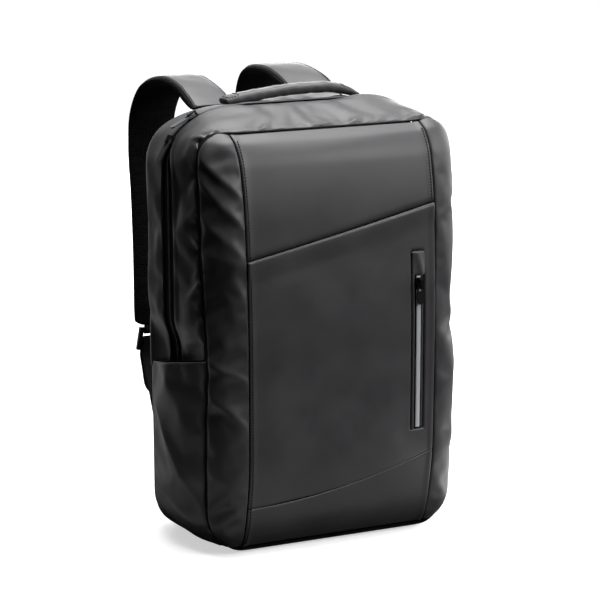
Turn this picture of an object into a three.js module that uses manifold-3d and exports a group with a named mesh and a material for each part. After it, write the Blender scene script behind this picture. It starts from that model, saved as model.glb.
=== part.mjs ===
// A laptop backpack in coated fabric, packed full and standing on its base with its zips closed.
// Millimetres, +Z up, front towards -Y, origin on the floor under the middle of the bag.
import * as THREE from 'three';
import Module from 'manifold-3d';
import { mergeVertices } from 'three/addons/utils/BufferGeometryUtils.js';

const wasm = await Module();
wasm.setup();

// Cloth and clearances
const GAP = 0.3;
const SEAM_GAP = 0.4;
const CLOTH = 2;
const TAPE = 1;
const TAPE_TUCK = 6;
const TAPE_GAP = 0.7;

// Heights of the bag
const MIDDLE_HEIGHT = 225;
const TAPER = 0.014;
const FOOT_TOP = 40;
const POCKET_TOP = 205;
const SINK_TOP = 240;

// Depths of the bag
const FRONT_Y = -50;
const ZIP_Y = 16;
const POCKET_BACK_Y = 60;
const BACK_Y = 82;

// Sections of the bag at depth y: half width, bottom, top, width and height of the top corners,
// and how square those corners are (2 is an ellipse).
const SECTIONS = [
  { y: FRONT_Y, half: 143, bottom: 6, top: 434, cornerX: 34, cornerZ: 34, square: 2.8 },
  { y: -38, half: 144, bottom: 1, top: 436, cornerX: 38, cornerZ: 36, square: 2.7 },
  { y: -15, half: 146, bottom: 0, top: 444, cornerX: 62, cornerZ: 50, square: 2.35 },
  { y: ZIP_Y, half: 147, bottom: 0, top: 453, cornerX: 82, cornerZ: 60, square: 2.2 },
  { y: 64, half: 146, bottom: 0, top: 443, cornerX: 72, cornerZ: 52, square: 2.45 },
  { y: 76, half: 139, bottom: 0, top: 437, cornerX: 68, cornerZ: 51, square: 2.4 },
  { y: BACK_Y, half: 128, bottom: 6, top: 428, cornerX: 60, cornerZ: 45, square: 2.3 },
];

// Depth of the crease between the front and the gusset, which the pocket mouth pulls forward.
const CREASE = [
  { z: 6, y: -65 },
  { z: 60, y: -57 },
  { z: 140, y: -59 },
  { z: 195, y: -65 },
  { z: 260, y: -57 },
  { z: 340, y: -51 },
  { z: 434, y: -47 },
];

// Depth of the front face along its side seams, rounded over at the top and tucked under at the base.
const FACE = [
  { z: 6, y: -66 },
  { z: 20, y: -75 },
  { z: 45, y: -82 },
  { z: 100, y: -89 },
  { z: 225, y: -90 },
  { z: 340, y: -85 },
  { z: 400, y: -76 },
  { z: 425, y: -63 },
  { z: 434, y: -48 },
];
const SEAM_X = 109;
const CROWN = 4;
const CROWN_RISE = 25;

// Slanted seams of the front face: height at the left and right end, and how the line bends.
const UPPER_SEAM = { left: 308, right: 353, bend: 1 };
const LOWER_SEAM = { left: 51, right: 91, bend: 1.7 };

// Soft folds of the front strips, from the crease down to the side seam.
const FOLDS = [
  { side: -1, creaseZ: 412, seamZ: 352, width: 9, height: 2.6 },
  { side: -1, creaseZ: 372, seamZ: 318, width: 11, height: 2.2 },
  { side: -1, creaseZ: 312, seamZ: 300, width: 12, height: 2.4 },
  { side: -1, creaseZ: 208, seamZ: 186, width: 10, height: 2.8 },
  { side: -1, creaseZ: 176, seamZ: 138, width: 12, height: 2.4 },
  { side: -1, creaseZ: 92, seamZ: 70, width: 14, height: 1.8 },
  { side: 1, creaseZ: 384, seamZ: 330, width: 11, height: 1 },
  { side: 1, creaseZ: 246, seamZ: 200, width: 10, height: 1 },
  { side: 1, creaseZ: 190, seamZ: 150, width: 10, height: 1 },
  { side: 1, creaseZ: 110, seamZ: 84, width: 13, height: 0.8 },
];

// Soft folds of the side pockets, from the front edge to the rear edge.
const POCKET_FOLDS = [
  { frontZ: 60, rearZ: 150, width: 16, height: 2.2 },
  { frontZ: 120, rearZ: 190, width: 14, height: 1.8 },
];

// Main zip
const ZIP_GAP_SIDE = 12;
const ZIP_GAP_TOP = 2.5;
const COIL_WIDTH = 4.4;
const COIL_TOP = -0.6;
const SLIDER_A = 4.27;
const SLIDER_B = 4.6;
const MAIN_PULL_LENGTH = 27;

// Sliders and pulls
const SLIDER = { width: 9, length: 12, height: 2.6 };
const BRIDGE = { width: 4, half: 5.2, height: 4.6, wall: 1.4, chamfer: 0.8 };
const PULL = { width: 8, thick: 1.6, bar: 2, window: 5.2, windowLength: 7, corner: 2.5 };
const HINGE_HEIGHT = (BRIDGE.height - BRIDGE.wall) / 2;

// Front zip pocket: the slot, and what lies in it
const SLOT = { left: 80, right: 96, bottom: 115, top: 304 };
const WELT_WIDTH = 3.5;
const GARAGE_LENGTH = 20;
const STRIP = { left: 86, right: 91.4, bottom: 117 };
const POCKET_SLIDER_Z = 270;
const POCKET_PULL_LENGTH = 22;

// Side pockets
const POCKET_CLOTH = 1.6;
const POCKET_BULGE = 2.6;
const POCKET_INSET = 2.4;
const POCKET_SINK = 5.5;
const POCKET_SLOPE = 22;

// Back panel
const BACK_PAD = 6;
const BACK_THICK = 8;

// Top handle: its stations from one sewn end to the other
const HANDLE_Y = 30;
const HANDLE = [
  { x: -82, lift: 1.3, halfHeight: 2, halfDepth: 11 },
  { x: -62, lift: 5, halfHeight: 3.8, halfDepth: 10 },
  { x: -34, lift: 8.4, halfHeight: 4.8, halfDepth: 9 },
  { x: 8, lift: 12.2, halfHeight: 5, halfDepth: 9 },
  { x: 42, lift: 12.4, halfHeight: 5, halfDepth: 9 },
  { x: 64, lift: 8.6, halfHeight: 4.2, halfDepth: 9.5 },
  { x: 82, lift: 1.3, halfHeight: 2, halfDepth: 11 },
];

// Shoulder straps: the line between pad and lining, from the seat at the rear edge of the top to the padded
// end. The right strap stands further off the bag than the left one.
const STRAP = [
  { x: 64, y: 58, z: 447.4 },
  { x: 64, y: 72, z: 443.2 },
  { x: 64.5, y: 92, z: 449 },
  { x: 65, y: 108, z: 456.6 },
  { x: 66, y: 126, z: 462 },
  { x: 67, y: 149, z: 464 },
  { x: 70, y: 187, z: 454 },
  { x: 73, y: 206, z: 426 },
  { x: 76, y: 206, z: 388 },
  { x: 80, y: 193, z: 340 },
  { x: 87, y: 175, z: 276 },
  { x: 96, y: 156, z: 204 },
];

// How far a strap's outer edge stands above its inner one, by the distance from the seat
const STRAP_TILT = [
  { along: 0, tilt: 0 },
  { along: 36, tilt: 5 },
  { along: 54, tilt: 6 },
  { along: 96, tilt: 2 },
  { along: 136, tilt: 0 },
  { along: 999, tilt: 0 },
];
const STRAP_SEAT = { share: 0.3, from: 4, to: 34 };
const STRAP_STEPS = 25;
const STRAP_SPREAD = { back: 34, up: 6, near: 80, far: 206, low: 204, high: 388 };
const STRAP_WIDTH_TOP = 57;
const STRAP_WIDTH_END = 50;
const PAD_THICK = 7;
const LINING_THICK = 3.5;
const LINING_GAP = 0.3;

// Ladder locks and webbing
const WEBBING = { width: 25, thick: 1.5 };
const LOCK = { width: 36, thick: 4, bar: 4.6, slot: 6, slotWidth: 27, flare: 0.38, drop: 9 };
const ANCHOR = { x: 112, high: 66, low: 40 };
const TAIL_LENGTH = 46;

// Colours
const COATED = { color: '#5b5c5f', roughness: 0.5 };
const STRAP_COATED = { color: '#6a6b6e', roughness: 0.5 };
const MESH = { color: '#141416', roughness: 0.95 };
const BLACK_TAPE = { color: '#151517', roughness: 0.8 };
const BLACK_PLASTIC = { color: '#18181a', roughness: 0.4 };
const ZIP_METAL = { color: '#3a3b3e', roughness: 0.35, metalness: 0.8 };
const PULL_GREY = { color: '#77797d', roughness: 0.45, metalness: 0.3 };
const SILVER = { color: '#b9bbbe', roughness: 0.35, metalness: 0.2 };

const lerp = THREE.MathUtils.lerp;
const smoothstep = THREE.MathUtils.smoothstep;
const vec = (x, y, z) => new THREE.Vector3(x, y, z);
const range = (n) => Array.from({ length: n + 1 }, (_, i) => i / n);

// A smooth monotone curve through one column of a table: flat stretches stay flat.
function curveThrough(rows, from, to) {
  const x = rows.map((row) => row[from]);
  const y = rows.map((row) => row[to]);
  const last = x.length - 1;
  const slope = range(last - 1 || 1).map((_, i) => (y[i + 1] - y[i]) / (x[i + 1] - x[i]));
  const tangent = x.map((_, i) => {
    const before = slope[Math.max(i - 1, 0)];
    const after = slope[Math.min(i, last - 1)];
    return before * after <= 0 ? 0 : (2 * before * after) / (before + after);
  });
  return (at) => {
    const value = THREE.MathUtils.clamp(at, x[0], x[last]);
    const i = Math.min(x.filter((edge) => edge <= value).length - 1, last - 1);
    const step = x[i + 1] - x[i];
    const t = (value - x[i]) / step;
    const rise = y[i] * (1 + 2 * t) * (1 - t) ** 2 + y[i + 1] * t * t * (3 - 2 * t);
    return rise + step * (tangent[i] * t * (1 - t) ** 2 - tangent[i + 1] * t * t * (1 - t));
  };
}

const SECTION_COLUMNS = ['half', 'bottom', 'top', 'cornerX', 'cornerZ', 'square'];
const sectionCurves = SECTION_COLUMNS.map((name) => [name, curveThrough(SECTIONS, 'y', name)]);
const sectionAt = (y) => Object.fromEntries(sectionCurves.map(([name, curve]) => [name, curve(y)]));
const creaseDepth = curveThrough(CREASE, 'z', 'y');
const faceDepth = curveThrough(FACE, 'z', 'y');
const taper = (z) => 1 + (TAPER * (z - MIDDLE_HEIGHT)) / MIDDLE_HEIGHT;

// Half the outline of a section, by stretches of u: 0 to 1 is the base, 1 to 2 the foot corner,
// 2 to 3 the side up to the pocket mouth, 3 to 4 the side above, 4 to 5 the top corner, 5 to 6 the top.
function outline(u, depth) {
  const s = sectionAt(depth);
  const foot = FOOT_TOP - s.bottom;
  const stretch = Math.min(Math.floor(u), 5);
  const q = u - stretch;
  const angle = (q * Math.PI) / 2;
  const power = 2 / s.square;
  const flat = s.half - s.cornerX;
  const shapes = [
    () => ({ x: q * (s.half - foot), z: s.bottom }),
    () => ({ x: s.half - foot * (1 - Math.sin(angle)), z: FOOT_TOP - foot * Math.cos(angle) }),
    () => ({ x: s.half, z: lerp(FOOT_TOP, POCKET_TOP, q) }),
    () => ({ x: s.half, z: lerp(POCKET_TOP, s.top - s.cornerZ, q) }),
    () => ({
      x: flat + s.cornerX * Math.max(Math.cos(angle), 0) ** power,
      z: s.top - s.cornerZ * (1 - Math.sin(angle) ** power),
    }),
    () => ({ x: flat * (1 - q), z: s.top }),
  ];
  const p = shapes[stretch]();
  return { x: p.x * taper(p.z), z: p.z };
}

// Rows of every wall in each stretch. Between rows the crease runs straight, so that neighbours meet.
const ROWS = { foot: 6, low: 6, high: 8, corner: 7 };
const ROWS_BY_STRETCH = [1, ROWS.foot, ROWS.low, ROWS.high, ROWS.corner, 1];
const rowsOf = (first, count) => range(count).map((t) => first + t);
function creaseAt(u) {
  const stretch = Math.min(Math.floor(u), 5);
  const rows = ROWS_BY_STRETCH[stretch];
  const row = Math.min(Math.floor((u - stretch) * rows + 1e-6), rows - 1);
  const depthOfRow = (k) => creaseDepth(outline(stretch + k / rows, FRONT_Y).z);
  return lerp(depthOfRow(row), depthOfRow(row + 1), (u - stretch) * rows - row);
}

// A point of the bag's skin, front to back from the crease (share 0) to the depth endY (share 1).
function skinFromCrease(side, u, share, endY) {
  const start = creaseAt(u) + SEAM_GAP;
  const y = lerp(start, endY, share);
  const p = outline(u, y + (FRONT_Y - start) * (1 - share) ** 2);
  return vec(side * p.x, y, p.z);
}

// A point of the bag's skin at the depth y.
function skinAt(side, u, y) {
  const p = outline(u, y);
  return vec(side * p.x, y, p.z);
}

// Signed positions along the outline: counted from the middle of the base, or from the middle of the top.
const TOP_U = 6;
const fromBase = (a) => ({ side: Math.sign(a) || 1, u: Math.abs(a) });
const fromTop = (a) => ({ side: Math.sign(a) || 1, u: TOP_U - Math.abs(a) });
const mirrored = (list) => [...list.filter((a) => a > 0).map((a) => -a).reverse(), ...list];
const GUSSET_END_U = 3 - 1 / ROWS.low;

// How far the wall behind a side pocket lies inside the bag's outline.
function pocketInset(u, y) {
  const z = lerp(FOOT_TOP, POCKET_TOP, u - 2);
  const above = u < 3 ? 1 : 1 - smoothstep(outline(u, y).z, POCKET_TOP, SINK_TOP);
  const overFoot = smoothstep(u, 1 + 1 / ROWS.foot, 1 + 2 / ROWS.foot);
  const rim = overFoot * (1 - smoothstep(y, POCKET_BACK_Y + 1, POCKET_BACK_Y + 7));
  const across = THREE.MathUtils.clamp((y - FRONT_Y) / (POCKET_BACK_Y - FRONT_Y), 0, 1);
  const sink = Math.sin(Math.PI * across) ** 0.7 * smoothstep(z, FOOT_TOP - 20, FOOT_TOP + 60);
  return above * rim * (POCKET_INSET + POCKET_SINK * sink);
}

// A closed solid from a list of rings, each a loop of points, with flat ends.
function ringSolid(rings) {
  const points = rings.flat();
  const n = rings[0].length;
  const triangles = [];
  for (let r = 0; r + 1 < rings.length; r += 1) {
    for (let i = 0; i < n; i += 1) {
      const a = r * n + i;
      const b = r * n + ((i + 1) % n);
      triangles.push([a, b, b + n], [a, b + n, a + n]);
    }
  }
  const ends = [rings[0], rings.at(-1)];
  ends.forEach((ring, end) => {
    const centre = ring.reduce((sum, p) => sum.add(p), vec(0, 0, 0)).divideScalar(n);
    const hub = points.push(centre) - 1;
    const base = end * (rings.length - 1) * n;
    for (let i = 0; i < n; i += 1) {
      const a = base + i;
      const b = base + ((i + 1) % n);
      triangles.push(end ? [a, b, hub] : [b, a, hub]);
    }
  });
  return closedGeometry(points, triangles);
}

// Welds the points, drops triangles that have collapsed and turns the faces outwards.
function closedGeometry(points, triangles) {
  const kept = new Map();
  const places = [];
  const index = points.map((p) => {
    const key = p.toArray().map((v) => Math.round(v * 500)).join();
    if (!kept.has(key)) kept.set(key, places.push(p) - 1);
    return kept.get(key);
  });
  const whole = ([a, b, c]) => a !== b && b !== c && c !== a;
  const faces = triangles.map((t) => t.map((i) => index[i])).filter(whole);
  const volume = faces.reduce((sum, [a, b, c]) => sum + places[a].dot(places[b].clone().cross(places[c])), 0);
  const outward = volume > 0 ? faces : faces.map(([a, b, c]) => [a, c, b]);
  const geometry = new THREE.BufferGeometry().setFromPoints(places);
  return geometry.setIndex(outward.flat());
}

// A wall of cloth: a grid of points on a surface, raised by lift along the outward normal,
// with a second skin one thickness further in. The normals may be adjusted along the edges.
const BAG_CENTRE = vec(0, 0, MIDDLE_HEIGHT);
function clothWall({ at, us, vs, lift = () => 0, thick = CLOTH, normal = (n) => n, loop = false }) {
  const step = 1e-3;
  const outer = [];
  const inner = [];
  us.forEach((u, i) => vs.forEach((v, j) => {
    const alongU = at(u + step, v).sub(at(u - step, v));
    const alongV = at(u, v + step).sub(at(u, v - step));
    const p = at(u, v);
    const out = alongU.cross(alongV).normalize();
    if (out.dot(p.clone().sub(BAG_CENTRE)) < 0) out.negate();
    const n = normal(out, i, j).normalize();
    const top = p.clone().addScaledVector(n, lift(u, v));
    outer.push(top);
    inner.push(top.clone().addScaledVector(n, -thick));
  }));
  const points = [...outer, ...inner];
  const columns = vs.length;
  const below = outer.length;
  const triangles = [];
  const quad = (a, b, c, d) => triangles.push([a, b, c], [a, c, d]);
  for (let i = 0; i + 1 < us.length; i += 1) {
    for (let j = 0; j + 1 < columns; j += 1) {
      const a = i * columns + j;
      quad(a, a + columns, a + columns + 1, a + 1);
      quad(below + a, below + a + 1, below + a + columns + 1, below + a + columns);
    }
    const first = i * columns;
    const last = first + columns - 1;
    quad(first, below + first, below + first + columns, first + columns);
    quad(last, last + columns, below + last + columns, below + last);
  }
  for (let j = 0; j + 1 < columns && !loop; j += 1) {
    const end = (us.length - 1) * columns + j;
    quad(j, j + 1, below + j + 1, below + j);
    quad(end, below + end, below + end + 1, end + 1);
  }
  return closedGeometry(points, triangles);
}

// Joins and cuts
function solid(geometry) {
  const bare = new THREE.BufferGeometry().setAttribute('position', geometry.getAttribute('position'));
  if (geometry.index) bare.setIndex(geometry.index);
  const welded = mergeVertices(bare, 1e-3);
  const vertProperties = welded.attributes.position.array;
  const triVerts = new Uint32Array(welded.index.array);
  return new wasm.Manifold(new wasm.Mesh({ numProp: 3, vertProperties, triVerts }));
}
function geometryOf(made) {
  const { vertProperties, triVerts } = made.getMesh();
  const geometry = new THREE.BufferGeometry();
  geometry.setAttribute('position', new THREE.BufferAttribute(vertProperties, 3));
  return geometry.setIndex(new THREE.BufferAttribute(triVerts, 1));
}
const joined = (a, b) => geometryOf(solid(a).add(solid(b)));
const cut = (a, b) => geometryOf(solid(a).subtract(solid(b)));

const bag = new THREE.Group();
function add(name, geometry, look) {
  const material = new THREE.MeshStandardMaterial({ metalness: 0, ...look });
  const mesh = new THREE.Mesh(geometry, material);
  mesh.name = name;
  bag.add(mesh);
  return mesh;
}

// Normals that lie in the plane of a section, for edges that butt at the crease.
const inSection = (n) => vec(n.x, 0, n.z);
const backwards = () => vec(0, 1, 0);

// Front and rear gusset: the band over the top and down both sides, open along the main zip
const cornerRows = rowsOf(1, ROWS.corner);
const highRows = rowsOf(2, ROWS.high).slice(1);
const overTop = mirrored([0, 0.5, ...cornerRows, ...highRows, TOP_U - GUSSET_END_U]);
function zipHalfGap(u) {
  return lerp(ZIP_GAP_SIDE, ZIP_GAP_TOP, THREE.MathUtils.clamp(u - 4, 0, 1));
}
function frontGussetPoint(a, share) {
  const { side, u } = fromTop(a);
  return skinFromCrease(side, u, share, ZIP_Y - zipHalfGap(u));
}
function rearGussetPoint(a, share) {
  const { side, u } = fromTop(a);
  return skinAt(side, u, lerp(ZIP_Y + zipHalfGap(u), BACK_Y, share));
}
const sunkAt = (point) => (a, share) => -pocketInset(fromTop(a).u, point(a, share).y);
add('front_gusset', clothWall({
  at: frontGussetPoint,
  us: overTop,
  vs: range(4),
  lift: sunkAt(frontGussetPoint),
  normal: (n, i, j) => (j === 0 ? inSection(n) : n),
}), COATED);
const rearShares = [0, 0.35, 0.66, 0.8, 0.92, 1];
add('rear_gusset', clothWall({
  at: rearGussetPoint,
  us: overTop,
  vs: rearShares,
  lift: sunkAt(rearGussetPoint),
  normal: (n, i, j) => (j === rearShares.length - 1 ? backwards() : n),
}), COATED);

// Bottom gusset: the base and the side walls behind the pockets
const footRows = rowsOf(1, ROWS.foot);
const lowRows = rowsOf(2, ROWS.low).slice(1);
const bottomEnd = GUSSET_END_U - SEAM_GAP / (POCKET_TOP - FOOT_TOP);
const bottomList = [0, 0.5, ...footRows, ...lowRows.slice(0, -2), bottomEnd];
const bottomShares = [0, 0.15, 0.35, 0.6, 0.8, 0.87, 0.95, 0.975, 1];
function bottomPoint(a, share) {
  const { side, u } = fromBase(a);
  return skinFromCrease(side, u, share, BACK_Y);
}
add('bottom_gusset', clothWall({
  at: bottomPoint,
  us: mirrored(bottomList),
  vs: bottomShares,
  lift: (a, share) => -pocketInset(Math.abs(a), bottomPoint(a, share).y),
  normal: (n, i, j) => (j === 0 ? inSection(n) : j === bottomShares.length - 1 ? backwards() : n),
}), COATED);

// Side pockets, a little slack, with a mouth that slopes down to the back
const pocketUs = [...footRows.slice(2), ...lowRows];
const pocketShares = range(6);
function pocketFold(z, share) {
  const across = Math.sin(Math.PI * share);
  return POCKET_FOLDS.reduce((sum, fold) => {
    const off = (z - lerp(fold.frontZ, fold.rearZ, share)) / fold.width;
    return sum + across * fold.height * Math.exp(-off * off);
  }, 0);
}
for (const [name, side] of [['left', -1], ['right', 1]]) {
  const at = (u, share) => {
    const overEnd = Math.max(u - GUSSET_END_U, 0) / (3 - GUSSET_END_U);
    const fall = (overEnd * share * POCKET_SLOPE) / (POCKET_TOP - FOOT_TOP);
    return skinFromCrease(side, u - fall, share, POCKET_BACK_Y);
  };
  const slack = (u, share) => POCKET_BULGE * Math.sin(Math.PI * share) * smoothstep(u, 1.3, 2.2);
  add('side_pocket_' + name, clothWall({
    at,
    us: pocketUs,
    vs: pocketShares,
    thick: POCKET_CLOTH,
    lift: (u, share) => slack(u, share) + pocketFold(at(u, share).z, share),
    normal: (n, i, j) => (j === 0 ? inSection(n) : n),
  }), COATED);
}

// Back panel: a padded board of mesh
const backCentreZ = MIDDLE_HEIGHT;
const rimHalf = SECTIONS.at(-1).half;
const rimTop = SECTIONS.at(-1).top - backCentreZ;
function backDepth(x, z) {
  const acrossX = Math.min(Math.abs(x) / rimHalf, 1) ** 6;
  const acrossZ = Math.min(Math.abs(z - backCentreZ) / rimTop, 1) ** 6;
  return BACK_Y + BACK_PAD * (1 - acrossX) * (1 - acrossZ);
}
function backPoint(a, share) {
  const { side, u } = fromBase(a);
  const rim = outline(u, BACK_Y);
  const inside = 1 - (2 * SEAM_GAP) / rimHalf;
  const x = side * rim.x * inside * share;
  const z = backCentreZ + (rim.z - backCentreZ) * inside * share;
  return vec(x, backDepth(x, z), z);
}
const backList = [0, 0.5, 1, 1.35, 1.7, 2, 2.5, 3, 3.5, 4, 4.2, 4.4, 4.6, 4.8, 5, 5.5, 6];
add('back_panel', clothWall({
  at: backPoint,
  us: mirrored(backList),
  vs: [0, 0.4, 0.7, 0.85, 0.94, 1],
  thick: BACK_THICK,
  normal: backwards,
  loop: true,
}), MESH);

// Front side strips: soft rounded corners between the crease and the side seams
function foldLift(side, z, share) {
  const across = Math.sqrt(Math.sin(Math.PI * THREE.MathUtils.clamp(share, 0, 1)));
  return FOLDS.filter((fold) => fold.side === side).reduce((sum, fold) => {
    const off = (z - lerp(fold.seamZ, fold.creaseZ, share)) / fold.width;
    return sum + across * fold.height * Math.exp(-off * off);
  }, 0);
}
const seamX = (z) => SEAM_X * taper(z);
const stripUs = [
  ...footRows.slice(1),
  ...rowsOf(2, 2 * ROWS.low).slice(1),
  ...rowsOf(3, 2 * ROWS.high).slice(1),
  ...rowsOf(4, ROWS.corner).slice(1, -1),
];
const stripShares = range(5);
for (const [name, side] of [['left', -1], ['right', 1]]) {
  const at = (u, share) => {
    const rim = outline(u, FRONT_Y);
    const angle = (share * Math.PI) / 2;
    const inner = seamX(rim.z) + SEAM_GAP;
    const x = inner + (rim.x - inner) * Math.sin(angle);
    const edge = creaseAt(u);
    return vec(side * x, edge + (faceDepth(rim.z) - edge) * Math.cos(angle), rim.z);
  };
  add('front_side_strip_' + name, clothWall({
    at,
    us: stripUs,
    vs: stripShares,
    lift: (u, share) => foldLift(side, at(u, share).z, share),
    normal: (n, i, j) => (j === stripShares.length - 1 ? inSection(n) : n),
  }), COATED);
}

// Front face: three panels between slanted seams
function frontPoint(x, z) {
  const across = x / seamX(z);
  const swell = CROWN * smoothstep(creaseDepth(z) - faceDepth(z), 0, CROWN_RISE);
  return vec(x, faceDepth(z) - swell * (1 - across * across), z);
}
const seamHeight = (seam, share) => lerp(seam.left, seam.right, share ** seam.bend);
const rims = { base: SECTIONS[0].bottom + SEAM_GAP, top: SECTIONS[0].top - SEAM_GAP };
function frontPanel(lowEdge, highEdge, shares, normal) {
  const at = (across, share) => {
    const place = THREE.MathUtils.clamp((across + 1) / 2, 0, 1);
    const z = lerp(lowEdge(place), highEdge(place), share);
    return frontPoint(across * seamX(z), z);
  };
  return clothWall({ at, us: range(8).map((t) => 2 * t - 1), vs: shares, normal });
}
const upperShares = [0, 0.3, 0.55, 0.72, 0.82, 0.89, 0.94, 0.97, 1];
add('front_upper_panel', frontPanel(
  (place) => seamHeight(UPPER_SEAM, place) + SEAM_GAP / 2,
  () => rims.top,
  upperShares,
  (n, i, j) => (j === upperShares.length - 1 ? vec(0, 0, 1) : n),
), COATED);
const lowerShares = [0, 0.1, 0.25, 0.5, 0.75, 1];
add('front_lower_panel', frontPanel(
  () => rims.base,
  (place) => seamHeight(LOWER_SEAM, place) - SEAM_GAP / 2,
  lowerShares,
  (n, i, j) => (j === 0 ? vec(0, 0, -1) : n),
), COATED);
const middlePanel = frontPanel(
  (place) => seamHeight(LOWER_SEAM, place) + SEAM_GAP / 2,
  (place) => seamHeight(UPPER_SEAM, place) - SEAM_GAP / 2,
  range(6),
);
const slotCutter = new THREE.BoxGeometry(SLOT.right - SLOT.left, 60, SLOT.top - SLOT.bottom);
slotCutter.translate((SLOT.left + SLOT.right) / 2, FRONT_Y - 40, (SLOT.top + SLOT.bottom) / 2);
add('front_middle_panel', cut(middlePanel, slotCutter), COATED);

// Front zip pocket: tape behind the slot, folded welt, garage over the top end, reflective zip line
function frontPatch(left, right, bottom, top, lift, thick) {
  const us = range(3).map((t) => lerp(left, right, t));
  const vs = range(8).map((t) => lerp(bottom, top, t));
  return clothWall({ at: frontPoint, us, vs, lift: () => lift, thick });
}
const tapeTop = -CLOTH - TAPE_GAP;
const weltTop = 0.6;
const weltThick = weltTop - tapeTop - GAP;
const garageBottom = SLOT.top - GARAGE_LENGTH;
const stripTop = -0.9;
add('pocket_zip_tape', frontPatch(
  SLOT.left - TAPE_TUCK,
  SLOT.right + TAPE_TUCK,
  SLOT.bottom - TAPE_TUCK,
  SLOT.top + TAPE_TUCK,
  tapeTop,
  TAPE,
), BLACK_TAPE);
add('pocket_welt', frontPatch(
  SLOT.left + GAP,
  SLOT.left + GAP + WELT_WIDTH,
  SLOT.bottom + GAP,
  garageBottom - GAP,
  weltTop,
  weltThick,
), COATED);
add('pocket_garage', frontPatch(
  SLOT.left + GAP,
  SLOT.right - GAP,
  garageBottom,
  SLOT.top - GAP,
  weltTop,
  weltThick,
), COATED);
add('reflective_strip', frontPatch(
  STRIP.left,
  STRIP.right,
  STRIP.bottom,
  garageBottom - GAP,
  stripTop,
  stripTop - tapeTop - GAP,
), SILVER);

// Main zip: tape under both gusset edges, coil along its middle
add('main_zip_tape', clothWall({
  at: (a, across) => {
    const { side, u } = fromTop(a);
    return skinAt(side, u, ZIP_Y + across * (zipHalfGap(u) + TAPE_TUCK));
  },
  us: overTop,
  vs: [-1, -0.4, 0, 0.4, 1],
  thick: TAPE,
  lift: (a, across) => {
    const { u } = fromTop(a);
    const y = ZIP_Y + across * (zipHalfGap(u) + TAPE_TUCK);
    return tapeTop - pocketInset(u, y);
  },
}), BLACK_TAPE);
add('main_zip_coil', clothWall({
  at: (a, across) => skinAt(fromTop(a).side, fromTop(a).u, ZIP_Y + (across * COIL_WIDTH) / 2),
  us: overTop,
  vs: [-1, 1],
  thick: COIL_TOP - tapeTop - GAP,
  lift: (a) => COIL_TOP - pocketInset(fromTop(a).u, ZIP_Y),
}), BLACK_PLASTIC);

// Sliders and their pulls, in a frame with x across the zip, y along it and z outwards.
function extruded(points, depth, holes = []) {
  const shape = new THREE.Shape(points.map(([x, y]) => new THREE.Vector2(x, y)));
  shape.holes = holes.map((hole) => new THREE.Path(hole.map(([x, y]) => new THREE.Vector2(x, y))));
  return new THREE.ExtrudeGeometry(shape, { depth, bevelEnabled: false });
}
const box = (x0, x1, y0, y1) => [[x0, y0], [x1, y0], [x1, y1], [x0, y1]];
function sliderGeometry() {
  const w = SLIDER.width / 2;
  const l = SLIDER.length / 2;
  const plan = [[-w * 0.7, -l], [w * 0.7, -l], [w, -l * 0.4], [w, l * 0.6], [w * 0.6, l], [-w * 0.6, l],
    [-w, l * 0.6], [-w, -l * 0.4]];
  const body = extruded(plan, SLIDER.height).translate(0, 0, -SLIDER.height);
  const { half, height, wall, width } = BRIDGE;
  const sunk = -0.5;
  const inside = half - wall;
  const under = height - wall;
  const crest = half - BRIDGE.chamfer;
  const arch = [[-half, sunk], [-inside, sunk], [-inside, under], [inside, under], [inside, sunk],
    [half, sunk], [crest, height], [-crest, height]];
  const bridge = extruded(arch, width).translate(0, 0, -width / 2);
  bridge.applyMatrix4(new THREE.Matrix4().makeBasis(vec(0, 1, 0), vec(0, 0, 1), vec(1, 0, 0)));
  return joined(body, bridge);
}
function pullGeometry(length) {
  const w = PULL.width / 2;
  const bar = PULL.bar / 2;
  const tip = w - PULL.corner;
  const shoulder = PULL.corner - length;
  const plan = [[-w, bar], [w, bar], [w, shoulder], [tip, -length], [-tip, -length], [-w, shoulder]];
  const hole = box(-PULL.window / 2, PULL.window / 2, -bar - PULL.windowLength, -bar);
  return extruded(plan.reverse(), PULL.thick, [hole]).translate(0, 0, HINGE_HEIGHT - PULL.thick / 2);
}
function addSlider(names, point, along, out, pullLength) {
  const across = along.clone().cross(out);
  const frame = new THREE.Matrix4().makeBasis(across, along, out).setPosition(point);
  const slider = add(names.slider, sliderGeometry(), ZIP_METAL);
  const pull = add(names.pull, pullGeometry(pullLength), PULL_GREY);
  slider.applyMatrix4(frame);
  pull.applyMatrix4(frame);
}
for (const [letter, u] of [['a', SLIDER_A], ['b', SLIDER_B]]) {
  const here = skinAt(-1, u, ZIP_Y);
  const along = skinAt(-1, u + 0.01, ZIP_Y).sub(here).normalize();
  const out = vec(0, 1, 0).cross(along).normalize();
  if (out.x > 0) out.negate();
  const seat = here.addScaledVector(out, COIL_TOP + GAP + SLIDER.height);
  const names = { slider: 'main_zip_slider_' + letter, pull: 'main_zip_pull_' + letter };
  addSlider(names, seat, along, out, MAIN_PULL_LENGTH);
}
const pocketSliderX = (STRIP.left + STRIP.right) / 2;
const pocketSeat = frontPoint(pocketSliderX, POCKET_SLIDER_Z);
pocketSeat.y -= stripTop + 2 * GAP + SLIDER.height;
const pocketNames = { slider: 'pocket_slider', pull: 'pocket_pull' };
addSlider(pocketNames, pocketSeat, vec(0, 0, 1), vec(0, -1, 0), POCKET_PULL_LENGTH);

// A rounded loop of points in the plane of two axes, squarer as the power rises.
function roundLoop(centre, a, b, halfA, halfB, sides, power) {
  return range(sides).slice(0, sides).map((t) => {
    const angle = 2 * Math.PI * t + Math.PI / sides;
    const c = Math.cos(angle);
    const s = Math.sin(angle);
    const alongA = Math.sign(c) * Math.abs(c) ** (2 / power) * halfA;
    const alongB = Math.sign(s) * Math.abs(s) ** (2 / power) * halfB;
    return centre.clone().addScaledVector(a, alongA).addScaledVector(b, alongB);
  });
}

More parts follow.
